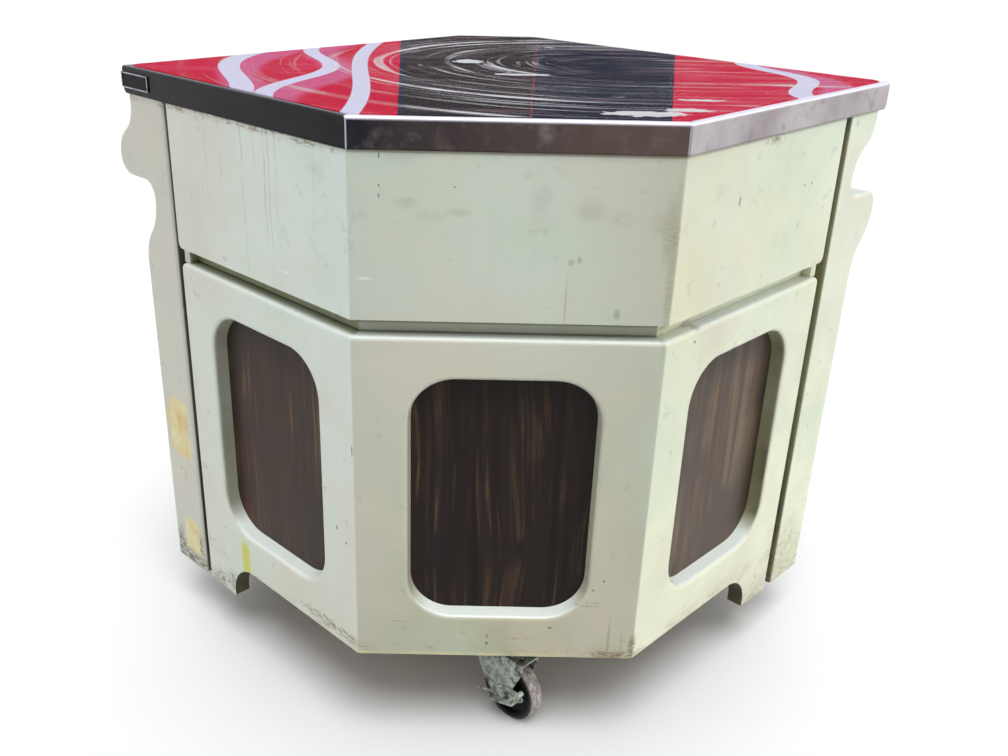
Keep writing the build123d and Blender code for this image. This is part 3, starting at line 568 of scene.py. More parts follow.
# %% Runs and rust below the left nosing
run_wobble = body.noise((3.0, 3.0, 16.0), 3.0)
run_line = body.plus(along["left"], body.span(run_wobble, 0.3, 0.7, -0.003, 0.003))
run_marks = body.either(*[
    body.both(
        body.near(run_line, start, 0.0002, 0.0016),
        body.span(height, foot - 0.05, foot + 0.03, 0, strength),
    )
    for start, foot, strength in (
        (0.3015, 0.77, 0.45), (0.266, 0.75, 0.35), (0.2155, 0.7, 0.75), (0.1655, 0.73, 0.8),
        (0.156, 0.7, 0.6), (0.141, 0.77, 0.5), (0.064, 0.74, 0.45), (0.188, 0.8, 0.35),
    )
])
run_marks = body.both(run_marks, on["left"], body.span(fine, 0.4, 0.6, 0.05, 0.7))
body.lay("#83887A", run_marks)
rust_line = body.both(
    on["left"], body.span(height, nosing_low - 0.0028, nosing_low - 0.0004),
    body.span(grit_field, 0.4, 0.5), body.span(outward, 0.44, 0.4),
)
rust_flecks = body.both(
    on["left"], body.near(height, nosing_low - 0.003, 0.0024, 0.006),
    body.span(grit, 0.5, 0.56), body.span(grit_field, 0.44, 0.55),
)
body.lay("#7F6038", rust_flecks, 0.75)
body.lay("#3E2C1C", rust_line, 0.85)
print("runs and rust placed")

# %% Old tape and the crayon smear
ragged = body.noise((40.0, 40.0, 26.0), 4.0, 0.6)
tape_edge = body.span(ragged, 0.25, 0.75, -0.009, 0.009)
tape_up = body.plus(height, tape_edge)
tape_along = body.plus(along["left"], tape_edge)
tape = body.either(
    body.both(body.near(tape_up, 0.352, 0.05, 0.003), body.near(tape_along, 0.449, 0.028, 0.003)),
    body.both(body.near(tape_up, 0.148, 0.03, 0.004), body.near(tape_along, 0.441, 0.019, 0.005)),
)
tape_stain = body.span(body.noise(26.0, 4.0, 0.6), 0.35, 0.65)
tape_shade = body.mix(tape_stain, "#D6CC98", "#C3A556")
body.lay(tape_shade, tape, on["left"], 0.88)
smear = body.both(
    body.near(along["left"], 0.2775, 0.005, 0.011), body.near(height, 0.182, 0.018, 0.024), on["left"]
)
smear = body.both(smear, body.span(fine, 0.25, 0.6, 0.85, 1.0), body.below(recess, 0.004))
body.lay("#B9BC1E", smear, 0.95)
print("tape and smear placed")

# %% Small marks


def oval(face, along_at, up_at, half_along, half_up):
    """1 inside an oval on a face, falling off outside it. All its sizes are in millimetres."""
    da = body.math("DIVIDE", body.minus(along[face], along_at / 1000), half_along / 1000)
    dz = body.math("DIVIDE", body.minus(height, up_at / 1000), half_up / 1000)
    length = body.math("SQRT", body.plus(body.both(da, da), body.both(dz, dz)))
    inside = body.span(length, 2.0, 0.6, smooth=True)
    return inside if face == "front" else body.both(inside, on[face])


def mark(colour, strength, breaks, **ovals):
    """Lay a colour inside the ovals listed for each face, broken up by a pattern."""
    inside = [oval(face, *row) for face, rows in ovals.items() for row in rows]
    body.lay(colour, body.either(*inside), breaks, strength)


mark("#2E2A22", 0.85, 1.0, front=(
    (-157.6, 869.5, 0.7, 2.2), (-158, 835, 0.6, 1.4), (-158.2, 823, 0.6, 2), (-70, 834.5, 0.8, 0.8),
    (-12.5, 181, 1.4, 1.5), (-12.5, 193, 0.7, 2.6), (145.6, 290.5, 1.1, 1.3), (131.6, 275.1, 1, 1.2),
    (75.5, 210, 2.4, 0.9),
), left=(
    (41, 351, 1.2, 3), (21, 335, 1.4, 1.4), (4, 485, 0.8, 6),
), right=(
    (296, 796, 1.4, 1.4), (316, 796, 1.4, 1.4), (130, 802, 1.2, 5), (65, 630, 1.6, 1.6),
))
mark("#8A8678", 0.28, body.span(fine, 0.36, 0.6, 0.15, 1.0), front=(
    (127, 801, 9, 8), (89, 811, 12, 10), (-98.4, 798.8, 12, 5), (-66, 805, 10, 4), (-127, 815, 12, 5),
    (-179, 800.6, 4, 4), (30, 825, 10, 12), (169, 796, 7, 10),
))
print("small marks placed")

# %% Stains, rubs and scuffs
mark("#74724F", 0.45, body.span(fine, 0.36, 0.56, 0.4, 1.0), front=(
    (70, 747, 3, 3), (80, 750, 2, 3), (130, 682, 3, 5),
))
mark("#8B8361", 0.5, body.span(grit, 0.36, 0.58, 0.5, 1.0), front=(
    (191, 740, 4, 75), (185, 785, 7, 30),
))
mark("#E3E6DC", 0.6, body.span(grit, 0.3, 0.5, 0.3, 1.0), front=(
    (-175.7, 721.5, 6.5, 1.4),
), left=(
    (131, 696, 10, 0.8),
))
mark("#8C8244", 0.5, body.span(fine, 0.3, 0.6, 0.4, 1.0), front=(
    (159.2, 195, 1.6, 30), (66.4, 690, 0.8, 28), (177.6, 185, 1.2, 14),
))
mark("#6B5733", 0.85, body.span(grit, 0.4, 0.56), front=((170, 164, 30, 5), (194, 176, 4, 18)))
mark("#4C4431", 0.8, body.span(grit, 0.46, 0.58), front=(
    (123, 248, 13, 0.9), (134, 253.5, 12, 0.7), (32, 190.5, 12, 0.8), (-135, 216.8, 11, 0.7),
), left=(
    (350, 106, 20, 12), (320, 120, 10, 14), (60, 176, 50, 6),
))
mark("#3A3322", 0.85, body.span(grit, 0.43, 0.54), left=(
    (455, 102, 36, 10), (479, 118, 10, 22), (415, 115, 4, 30),
))
mark("#6B4C2E", 0.9, body.span(grit, 0.44, 0.54), right=((192, 869, 12, 3),))
mark("#7A7460", 0.7, body.span(grit, 0.44, 0.56), right=((72, 649, 8, 4), (20, 653, 6, 4)))
mark("#D8CF9A", 0.36, body.span(clouds, 0.36, 0.62, 0.2, 1.0), right=(
    (220, 750, 60, 50), (35, 700, 30, 50), (340, 690, 40, 50),
))
mark("#8F8755", 0.45, body.span(grit, 0.42, 0.6, 0.25, 1.0), right=(
    (430, 150, 30, 50), (470, 130, 25, 30),
))
print("stains and scuffs placed")

# %% The moulded body's gloss and relief
body.set(Roughness=body.span(fine, 0.3, 0.8, 0.26, 0.42))
wavy = body.bump(body.noise(7.0, 2.0), 0.002, 0.22)
body.set(Normal=body.bump(body.noise(380.0, 2.0), 0.0002, 0.3, under=wavy))
body.wear("apron_shell", "lower_shell", "groove_rail", "left_end_moulding", "right_end_moulding")

# %% [markdown]
# The two ends and the rear are closed by flat panels. No guest sees them, so they are plain
# painted board: an even ivory with a faint roller texture, a few scuffs and dirt low down.

# %% Closing panels
closing = Finish("closing_panel")
panel_up = closing.axes()[2]
roller = closing.noise(260.0, 2.0)
cloudy = closing.noise(3.5, 4.0)
closing.shade = closing.mix(closing.span(cloudy, 0.35, 0.7), "#CDCFBD", "#BFBFA9")
closing_dirt = closing.both(
    closing.span(panel_up, 0.3, 0.13), closing.span(closing.noise(110.0, 5.0, 0.7), 0.45, 0.66),
    closing.span(cloudy, 0.3, 0.6, 0.3, 1.0),
)
closing.lay("#7A7358", closing_dirt, 0.6)
closing_scuffs = closing.noise((14.0, 14.0, 120.0), 4.0, 0.6)
scuff_mask = closing.span(closing_scuffs, 0.68, 0.72, 0.0, 0.5)
closing.lay("#8D8875", scuff_mask)
closing.set(Roughness=0.5)
closing.set(Normal=closing.bump(roller, 0.0002, 0.5))
closing.wear("left_end_panel", "right_end_panel", "rear_panel")

# %% [markdown]
# The top is folded steel sheet, brushed along its edges. Its colours paint reflections: the
# left and front faces are painted dark and the right face pale, and the rolled edges and
# mitred corners carry painted highlights. Metal shows its colour only through reflections,
# so each painted reflection is a darker or paler metal colour.

# %% Steel top
steel = Finish("brushed_steel", Metallic=1.0)
on_steel, along_steel, steel_height, steel_recess = steel.faces()
stains = steel.noise(9.0, 5.0, 0.6)
rubs = steel.noise(46.0, 5.0, 0.65)
brush_place = steel.join(steel.both(along_steel["front"], 6.0), steel.both(steel_height, 900.0))
brush = steel.noise(1.0, 4.0, 0.6, place=brush_place)
# Painted reflections: the left and front faces are painted dark and the right face pale.
steel_left = steel.mix(steel.span(stains, 0.35, 0.68), "#29292B", "#201F20")
steel_front = steel.mix(steel.span(along_steel["front"], -0.19, 0.1), "#1D2029", "#5A4C46")
steel_front = steel.over(steel_front, "#453D3D", steel.span(stains, 0.42, 0.62, 0.0, 0.5))
steel_front = steel.over(steel_front, "#6F625E", steel.span(rubs, 0.5, 0.7, 0.0, 0.45))
# A paler upright band on the front nosing.
front_pale_band = steel.both(
    steel.near(along_steel["front"], 0.032, 0.004, 0.01), steel.span(steel_height, nosing_low, steel_top),
    steel.span(rubs, 0.35, 0.65),
)
steel_front = steel.over(steel_front, "#A49FA3", front_pale_band, 0.6)
steel_right = steel.mix(steel.span(stains, 0.35, 0.7), "#BBB4B6", "#978E90")
steel_right = steel.over(steel_right, "#6E6668", steel.span(rubs, 0.56, 0.72, 0.0, 0.5))
steel.shade = steel.mix(on_steel["left"], steel_front, steel_left)
steel.lay(steel_right, on_steel["right"])
left_rubs = steel.both(steel.span(rubs, 0.56, 0.7), steel.span(along_steel["left"], 0.16, 0.02))
steel.lay("#19181A", on_steel["left"], left_rubs, 0.7)
print("steel shades by face")

# %% Steel top: painted edge highlights and brushing
rolled_reach = steel.scaled(on_steel["left"], 0.0042, steel_top - 0.0054)
above_roll = steel.minus(steel_height, rolled_reach)
rolled = steel.span(above_roll, 0.0, 0.0036, smooth=True)
# A painted highlight along the rolled top edge, paler on the front and right.
rolled_highlight = steel.mix(on_steel["left"], "#E2E1F0", "#A3A2B0")
steel.lay(rolled_highlight, rolled)
front_side = steel.math("ABSOLUTE", along_steel["front"])
# A painted highlight along the mitred corners.
mitre_highlight = steel.both(
    steel.near(front_side, front_half - 0.0014, 0.0003, 0.0011), steel.span(stains, 0.3, 0.5, 0.5, 1.0)
)
steel.lay("#B4B3BA", mitre_highlight)
steel.lay("#8A888C", steel.span(brush, 0.35, 0.75, 0.0, 0.03))
rear_steel = steel.mix(steel.span(rubs, 0.35, 0.7), "#8B878A", "#6C686A")
steel.lay(rear_steel, steel.span(steel_recess, 0.01, 0.04))
# Painted shade along the nosing's lower edge.
lower_rim_shade = steel.span(steel_height, nosing_low + 0.0024, nosing_low)
steel.lay("#1D1A18", lower_rim_shade, 0.5)
steel.set(Roughness=steel.span(brush, 0.3, 0.7, 0.3, 0.46))
steel.set(Normal=steel.bump(brush, 0.00002, 0.2))
steel.wear("top_pan")

# %% [markdown]
# A printed vinyl sheet covers the steel. It is laid out in plain fields: red at the left,
# dark brown, navy, and red again at the right. Pale ribbons wave across the red fields. A
# field's edge is a straight line, so one comparison of x with a slanted line gives it. A
# ribbon is the band near a sine wave that runs from front to back.

# %% Printed sheet
sheet = Finish("printed_sheet")
print_x, print_y, _ = sheet.axes()
print_back = sheet.minus(print_y, front_y)


def field_edge(start, slope):
    """How far a point lies right of a straight field edge, in metres."""
    return sheet.minus(print_x, sheet.scaled(print_back, slope, start))


def ribbon(centre, sway, pitch, phase, half, soft=0.0012):
    """A band near x = centre + sway * sin(2 pi y / pitch + phase), with a softened edge."""
    wave = sheet.math("SINE", sheet.scaled(print_back, 2 * math.pi / pitch, phase))
    line_x = sheet.scaled(wave, sway, centre)
    return sheet.near(sheet.minus(print_x, line_x), 0.0, half, soft)


print_cloud = sheet.noise(5.0, 4.0, 0.6)
red = sheet.mix(sheet.span(print_cloud, 0.35, 0.68), "#BB1034", "#C41D47")
mauve = sheet.either(
    ribbon(-0.352, 0.03, 0.62, 0.9, 0.018, 0.02), ribbon(-0.262, 0.026, 0.44, 3.2, 0.014, 0.022),
    ribbon(0.438, 0.018, 0.3, 1.2, 0.014, 0.016),
)
red = sheet.over(red, "#C4638F", mauve, 0.75)
lavender = sheet.either(
    ribbon(-0.372, 0.034, 0.62, 0.4, 0.015), ribbon(-0.282, 0.028, 0.44, 2.6, 0.012),
    ribbon(-0.205, 0.016, 0.9, 1.0, 0.011), ribbon(0.405, 0.024, 0.3, 0.4, 0.015),
)
red = sheet.over(red, "#C9C7DE", lavender)
brown_side = sheet.span(field_edge(-0.136, -0.0503), -0.0004, 0.0004)
navy_side = sheet.span(field_edge(0.013, 0.0753), -0.0004, 0.0004)
red_side = sheet.span(field_edge(0.172, 0.192), -0.0004, 0.0004)
sheet.shade = sheet.mix(brown_side, red, "#261E22")
sheet.lay("#16182B", navy_side)
sheet.lay(red, red_side)
seam = sheet.either(
    sheet.near(field_edge(-0.133, -0.0503), 0.0, 0.002, 0.0005),
    sheet.near(field_edge(0.168, 0.192), 0.0, 0.0015, 0.0005),
)
sheet.lay("#1A2240", seam)
red_line = sheet.near(field_edge(0.013, 0.0753), 0.0, 0.0012, 0.0005)
sheet.lay("#6A1830", red_line, 0.8)
haze = sheet.both(
    sheet.span(sheet.noise((6.0, 34.0, 6.0), 5.0, 0.65), 0.5, 0.78),
    sheet.span(print_cloud, 0.35, 0.6),
)
sheet.lay("#D8A9BE", haze, 0.22)
sheet.set(Roughness=0.5, Specular_IOR_Level=0.0)
sheet.wear("graphic_sheet")

# %% [markdown]
# Clear film is stretched over the sheet. It was pulled towards one point near the back, so
# its creases bend round that point and then run off to the right. A flow field gives every
# point two distances: one across the creases and one along them. Waves across the flow make
# the creases in the mesh, and the same two distances, kept as a UV map, place the white
# streaks: painted highlights along the creases. The outline comes from the film's own CAD node.

# %% Clear film: the flow of its creases
film_points = mesh_points(node["clear_film"])
right_half = film_points[film_points[:, 0] > 0]
order = np.argsort(right_half[:, 1])
edge_y, edge_x = right_half[order, 1], right_half[order, 0]
film_low, film_high = film_points[:, 2].min(), film_points[:, 2].max()


def crease_flow(x, y):
    """Distance across and along the creases.

    Left of the turning line the creases are rings round its end, squeezed in x; right of
    it they are straight lines. Across is the ring's radius, and along is its arc.
    """
    turn_x, turn_back, squeeze, arc_pace = 0.15, 0.47, 1.12, 0.32
    aside = np.minimum(x - turn_x, 0) / squeeze
    behind = y - front_y - turn_back
    across = np.hypot(aside, behind)
    angle = np.arctan2(np.abs(aside), -behind)
    along_arc = np.maximum(x - turn_x, 0) - angle * arc_pace
    return across, along_arc


# %% Clear film: the sheet
row_count, column_count = 190, 300
film_rows = np.linspace(edge_y[0], edge_y[-1], row_count)
film_rows = np.unique(np.concatenate([film_rows, edge_y.round(6)]))
film_rows = film_rows[np.concatenate([[True], np.diff(film_rows) > 1e-5])]
film_side = np.interp(film_rows, edge_y, edge_x)
film_u = np.linspace(-1, 1, column_count)
film_x = film_side[:, None] * film_u[None, :]
film_y = np.broadcast_to(film_rows[:, None], film_x.shape)
across, along_arc = crease_flow(film_x, film_y)
dice = np.random.default_rng(11)
crease = np.zeros_like(film_x)
for pitch, share in ((0.064, 0.4), (0.04, 0.35), (0.026, 0.25)):
    phase, drift, lean = dice.uniform(0, 2 * math.pi), dice.uniform(2, 6), dice.uniform(5, 11)
    wave = np.sin(2 * math.pi * across / pitch + phase + drift * np.sin(lean * along_arc + phase))
    crease += share * (1 - np.abs(wave))
film_z = film_low + (film_high - film_low) * (0.05 + 0.9 * crease / crease.max())
film_grid = np.stack([film_x, film_y, film_z], axis=-1)
print("film creases", round(float(np.ptp(film_z)) * 1000, 2), "mm deep on", film_x.size, "points")

# %% Clear film: finish and piece
film = Finish("clear_film", Specular_IOR_Level=0.5, Roughness=0.16)
flow_along, flow_across, _ = film.axes(film.add("UVMap", uv_map="flow")[0])
film_x_axis, film_y_axis, _ = film.axes()


def flow_noise(along_scale, across_scale, detail=3.0, swirl=0.3):
    """Noise drawn out along the creases: few waves along the flow, many across it."""
    place = film.join(film.both(flow_along, along_scale), film.both(flow_across, across_scale))
    return film.noise(1.0, detail, 0.6, place=place, swirl=swirl)


lines = film.span(flow_noise(1.5, 44.0, 2.0, 0.2), 0.57, 0.665)
hairs = film.span(flow_noise(2.2, 130.0, 2.0, 0.1), 0.58, 0.68)
veil = film.span(flow_noise(1.4, 12.0, 3.0), 0.48, 0.74)
fine_breaks = film.span(flow_noise(7.0, 260.0), 0.35, 0.65, 0.7, 1.0)
patch = film.span(film.noise(4.6, 3.0), 0.38, 0.56, 0.22, 1.0)
navy_calm = film.span(film.near(film_x_axis, 0.17, 0.045, 0.06), 0.0, 1.0, 1.0, 0.45)
mid_top = film.both(
    film.span(film_x_axis, -0.34, -0.16, 0.22, 1.0), film.span(film_x_axis, 0.52, 0.36, 0.3, 1.0),
    navy_calm,
)
# The white streaks are painted highlights on the creases; loose white spots and patches are laid with
# them.
streaks = film.both(film.either(lines, film.both(hairs, 0.75)), fine_breaks)
streaks = film.both(film.either(streaks, film.both(veil, 0.15)), patch, mid_top)
white_spots = film.span(flow_noise(16.0, 50.0, 2.0, 0.6), 0.66, 0.7)
white_marks = film.both(white_spots, film.span(film.noise(5.0, 2.0), 0.54, 0.62), mid_top)
print("film streaks follow the flow")


def white_patch(x_at, back_at, half_x, half_back):
    """A loose white oval at a place on the top, with a ragged edge."""
    dx = film.math("DIVIDE", film.minus(film_x_axis, x_at), half_x)
    dy = film.math("DIVIDE", film.minus(film_y_axis, front_y + back_at), half_back)
    length = film.plus(film.both(dx, dx), film.both(dy, dy))
    ragged_edge = film.span(film.noise(60.0, 4.0, 0.7), 0.3, 0.7, -0.8, 0.8)
    return film.span(film.plus(length, ragged_edge), 1.1, 0.9)


white_marks = film.either(white_marks, film.both(film.either(
    white_patch(-0.055, 0.47, 0.024, 0.02), white_patch(0.15, 0.045, 0.05, 0.018),
    white_patch(0.205, 0.075, 0.035, 0.012), white_patch(0.02, 0.34, 0.04, 0.01),
    white_patch(0.235, 0.15, 0.03, 0.008),
), 0.85))
film_cover = film.either(streaks, film.both(white_marks, 0.9))
film.set(Base_Color=(0.76, 0.76, 0.82, 1))
film.set(Alpha=film.span(film_cover, 0.0, 1.0, 0.03, 0.92))
film_piece = make_piece(
    "stretched_film", film_grid, grid_faces(*film_x.shape), film, "counter",
    closed=False, sharp=60,
)
write_map(film_piece, "flow", np.stack([along_arc.ravel(), across.ravel()], axis=1))
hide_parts("clear_film")

# %% [markdown]
# The three panels in the windows are high-pressure laminate in a dark rosewood pattern.
# Its grain runs upright. Noise stretched tall makes the fine grain, and a slower, swirled
# one makes the few tan wisps.

# %% Wood laminate
wood = Finish("rosewood_laminate", Specular_IOR_Level=0.15)
on_wood, along_wood, wood_height, _ = wood.faces()
grain = wood.noise((90.0, 90.0, 2.6), 4.0, 0.55, swirl=0.2)
bands_wide = wood.noise((17.0, 17.0, 0.9), 3.0, 0.5, swirl=0.4)
hue_bands = wood.noise((24.0, 24.0, 0.7), 2.0, 0.5, swirl=0.4)
wood.shade = wood.mix(wood.span(grain, 0.32, 0.7), "#1A1311", "#2E2420")
wood.lay("#38241D", wood.span(hue_bands, 0.52, 0.66, 0.0, 0.5))
wood.lay("#292224", wood.span(hue_bands, 0.46, 0.34, 0.0, 0.5))
wood.lay("#1A1311", wood.span(bands_wide, 0.42, 0.28, 0.0, 0.35))
print("wood bands laid")

# %% Wood laminate: wisps, and painted shade and light per panel
wood_x, wood_y, wood_z = wood.axes()
sway = wood.span(wood.noise((5.0, 5.0, 2.6), 1.0), 0.3, 0.7, -0.012, 0.012)
swayed_x = wood.plus(wood_x, sway)


def wisp(across_scale, up_scale, low, high, seed):
    """Thin upright flames: stretched noise cut off high, kept only in loose groups."""
    place = wood.join(
        wood.scaled(swayed_x, across_scale, seed),
        wood.both(wood_y, across_scale),
        wood.both(wood_z, up_scale),
    )
    field = wood.span(wood.noise(1.0, 4.0, 0.55, place=place, swirl=0.25), low, high)
    group_place = wood.join(wood_x, wood_y, wood.plus(wood_z, seed))
    group = wood.span(wood.noise(7.0, 2.0, place=group_place), 0.42, 0.6)
    return wood.both(field, group, wood.span(grain, 0.3, 0.6, 0.45, 1.0))


on_wood_front = wood.minus(1.0, wood.either(on_wood["left"], on_wood["right"]))
# The front panel is painted darker and the right one lighter, the left a little warmer: painted shade and
# painted light for how each faces the light.
wood.lay("#120B08", on_wood_front, 0.4)
tan_strength = wood.scaled(on_wood["right"], 0.42, 0.48)
wood.lay("#6E5540", on_wood["left"], 0.1)
wood.lay("#7E7063", on_wood["right"], 0.3)
for flames, where, strength, colour in (
    (wisp(48.0, 2.2, 0.54, 0.68, 7.7), tan_strength, 0.8, "#4A3F31"),
    (wisp(64.0, 2.4, 0.54, 0.68, 3.1), tan_strength, 0.9, "#65482F"),
    (wisp(110.0, 3.0, 0.56, 0.68, 12.3), tan_strength, 0.8, "#957350"),
    (wisp(40.0, 1.6, 0.47, 0.64, 33.0), on_wood["right"], 0.6, "#84705C"),
    (wisp(20.0, 1.8, 0.55, 0.7, 21.9), on_wood["left"], 0.8, "#5B3226"),
):
    wood.lay(colour, flames, where, strength)
# Painted contact shadow along the top and sides of each window well, where the laminate meets the lip.
well_top_shadow = wood.span(wood_height, 0.53, 0.59)
wood.lay("#0D0906", well_top_shadow, 0.5)
well_side_shadow = wood.either(
    wood.both(on_wood["left"], wood.span(along_wood["left"], 0.3, 0.325)),
    wood.both(on_wood["right"], wood.span(along_wood["right"], 0.285, 0.315)),
    wood.both(on_wood_front, wood.span(along_wood["front"], 0.1, 0.13)),
)
wood.lay("#0D0906", well_side_shadow, 0.65)
wood.set(Roughness=wood.span(grain, 0.3, 0.8, 0.3, 0.44))
wood.set(Normal=wood.bump(grain, 0.0001, 0.35))
wood.wear("laminate_left", "laminate_front", "laminate_right")

# %% [markdown]
# A small black name plate with a chrome rim sits on the left end of the nosing. The plate
# is bare: it only needs gloss and a few fine scratches.

# %% Name plate
plate_black = Finish("gloss_black", Base_Color="#0A0B0F", Specular_IOR_Level=0.08)
plate_rub = plate_black.noise(180.0, 3.0)
plate_black.set(Roughness=plate_black.span(plate_rub, 0.3, 0.7, 0.16, 0.3))
plate_black.wear("badge_plate")
rim_chrome = Finish("worn_chrome", Metallic=1.0)
rim_wear = rim_chrome.noise(240.0, 4.0)
rim_shade = rim_chrome.mix(rim_chrome.span(rim_wear, 0.4, 0.7), "#B9BCC4", "#5E6067")
rim_chrome.set(Base_Color=rim_shade)
rim_chrome.set(Roughness=rim_chrome.span(rim_wear, 0.3, 0.7, 0.12, 0.35))
rim_chrome.wear("badge_frame")

# %% [markdown]
# Under the skirt is a painted tube frame with a board deck, and inside stand the posts.
# The paint is dull black with dust and a few chips. The deck and the board under the steel
# are plain chipboard with large pressed flakes. Screws, bolts, plates and clips are zinc.

# %% Frame, boards and small metal
frame_paint = Finish("frame_paint")
dust = frame_paint.noise(22.0, 5.0, 0.6)
chips = frame_paint.both(
    frame_paint.span(frame_paint.cells(70.0), 0.14, 0.1),
    frame_paint.span(frame_paint.noise(12.0, 2.0), 0.58, 0.64),
)
frame_shade = frame_paint.mix(frame_paint.span(dust, 0.45, 0.75), "#242424", "#4A453C")
frame_paint.set(Base_Color=frame_paint.mix(chips, frame_shade, "#7B4B2C"))
frame_paint.set(Roughness=frame_paint.span(dust, 0.3, 0.8, 0.45, 0.75))
frame_paint.set(Normal=frame_paint.bump(frame_paint.noise(300.0, 2.0), 0.0002, 0.4))
frame_paint.wear(
    "spine_rails", "cross_rail_front", "cross_rail_middle", "cross_rail_rear", "caster_pads",
    "post_front_left", "post_front_right", "post_end_left", "post_end_right",
    "post_rear_left", "post_rear_right",
)

board = Finish("chipboard", Roughness=0.82)
flakes = board.cells(110.0)
flake_shade = board.mix(board.span(flakes, 0.1, 0.8), "#8F7450", "#B89C72")
board_stains = board.span(board.noise(14.0, 4.0), 0.45, 0.75, 0, 0.4)
board.set(Base_Color=board.mix(board_stains, flake_shade, "#5F4B33"))
board.set(Normal=board.bump(flakes, 0.0004, 0.4))
board.wear("top_core", "base_deck")

zinc = Finish("zinc_plate", Metallic=0.85)
spangle = zinc.cells(260.0)
zinc_age = zinc.noise(60.0, 5.0, 0.65)
zinc_shade = zinc.mix(zinc.span(spangle, 0.0, 0.7), "#8B908C", "#A7ABA6")
zinc.set(Base_Color=zinc.mix(zinc.span(zinc_age, 0.5, 0.72, 0, 0.7), zinc_shade, "#6B6A5C"))
zinc.set(Roughness=zinc.span(zinc_age, 0.3, 0.7, 0.36, 0.62))
zinc.wear("end_panel_screws", "rear_panel_screws", "caster_bolts", "panel_clips")

# %% [markdown]
# The casters are the most worn pieces. Their zinc has turned grey-green and is pitted with
# dark corrosion, so the finish is only half metallic. The wheel is black plastic with a
# grey tyre whose tread is rubbed pale.

# %% Caster finishes
caster_zinc = Finish("worn_zinc")
crust = caster_zinc.noise(95.0, 6.0, 0.64)
crust_wide = caster_zinc.noise(30.0, 4.0, 0.6)
caster_shade = caster_zinc.mix(caster_zinc.span(crust, 0.36, 0.66), "#7D847C", "#C4CCC3")
caster_shade = caster_zinc.over(
    caster_shade, "#332C22", caster_zinc.span(crust, 0.52, 0.38),
    caster_zinc.span(crust_wide, 0.44, 0.58), 0.85,
)
caster_zinc.set(Base_Color=caster_shade, Metallic=0.45)
caster_zinc.set(Roughness=caster_zinc.span(crust, 0.3, 0.7, 0.72, 0.42))
caster_zinc.set(Normal=caster_zinc.bump(crust, 0.0004, 0.6))
caster_zinc.wear(*[
    name for name in node
    if name.endswith(("_kingpin", "_axle_bolt", "_yoke", "_caster_plate", "_brake_lever"))
])

wheel_black = Finish("wheel_black")
scuff = wheel_black.noise(90.0, 5.0, 0.65)
core_shade = wheel_black.mix(wheel_black.span(scuff, 0.5, 0.8), "#040405", "#17161B")
wheel_black.set(Base_Color=core_shade)
wheel_black.set(Roughness=wheel_black.span(scuff, 0.3, 0.7, 0.32, 0.55), Specular_IOR_Level=0.1)
wheel_black.wear(*[name for name in node if name.endswith("_wheel_core")])

tyre = Finish("worn_tyre")
_, tyre_across, _ = tyre.axes(tyre.add("UVMap", uv_map="lathe")[0])
tyre_grain = tyre.noise(160.0, 5.0, 0.7)
ragged_rim = tyre.plus(tyre_across, tyre.span(tyre_grain, 0.3, 0.7, -0.0012, 0.0012))
on_tread = tyre.span(ragged_rim, 0.0118, 0.0108)
tread_shade = tyre.mix(tyre.span(tyre_grain, 0.4, 0.62), "#6F6866", "#B5ACA8")
side_shade = tyre.mix(tyre.span(tyre_grain, 0.55, 0.75), "#141316", "#4C494C")
tyre.set(Base_Color=tyre.mix(on_tread, side_shade, tread_shade))
tyre.set(Roughness=tyre.span(tyre_grain, 0.3, 0.7, 0.62, 0.9))
tyre.set(Normal=tyre.bump(tyre_grain, 0.0005, 0.5))

# %% [markdown]
# A tyre is turned on a lathe: one profile carried round the axle. The profile is a closed
# loop with a crowned tread and rounded shoulders. The axle's place and direction come from
# the wheel's joint, so each tyre sits exactly on its own wheel. A map keeps how far each
# point lies out from the axle and past the tread's middle, which parts tread from side.

# %% Tyres
joint = {entry["name"]: entry for entry in frame["joints"]}
wheel_radius = float(joint["front_wheel_spin"]["pos_m"][2])
tyre_half, tyre_seat, shoulder = 0.012, 0.044, 0.0032
crown_drop, seat_chamfer, tread_depth = 0.0004, 0.0008, 0.0022
shoulder_angle = np.linspace(0, math.pi / 2, 7)


def lathe_frame(place):
    """The axle's centre, its direction and two directions square to it."""
    spin = joint[place + "_wheel_spin"]
    axis = np.array(spin["axis"], dtype=float)
    level = np.cross(axis, (0, 0, 1))
    return np.array(spin["pos_m"], dtype=float), axis, level, np.array((0.0, 0.0, 1.0))


def tyre_profile():
    """Half the tyre's section: across the axle and out from it, from tread to seat."""
    flat_across = np.linspace(0, tyre_half - shoulder, 6)
    crown = wheel_radius - crown_drop * (flat_across / tyre_half) ** 2
    arc_across = tyre_half - shoulder + shoulder * np.sin(shoulder_angle)
    arc_out = crown[-1] - shoulder + shoulder * np.cos(shoulder_angle)
    across_half = np.concatenate([flat_across, arc_across[1:], [tyre_half, tyre_half - seat_chamfer]])
    out_half = np.concatenate([crown, arc_out[1:], [tyre_seat + seat_chamfer, tyre_seat]])
    return across_half, out_half


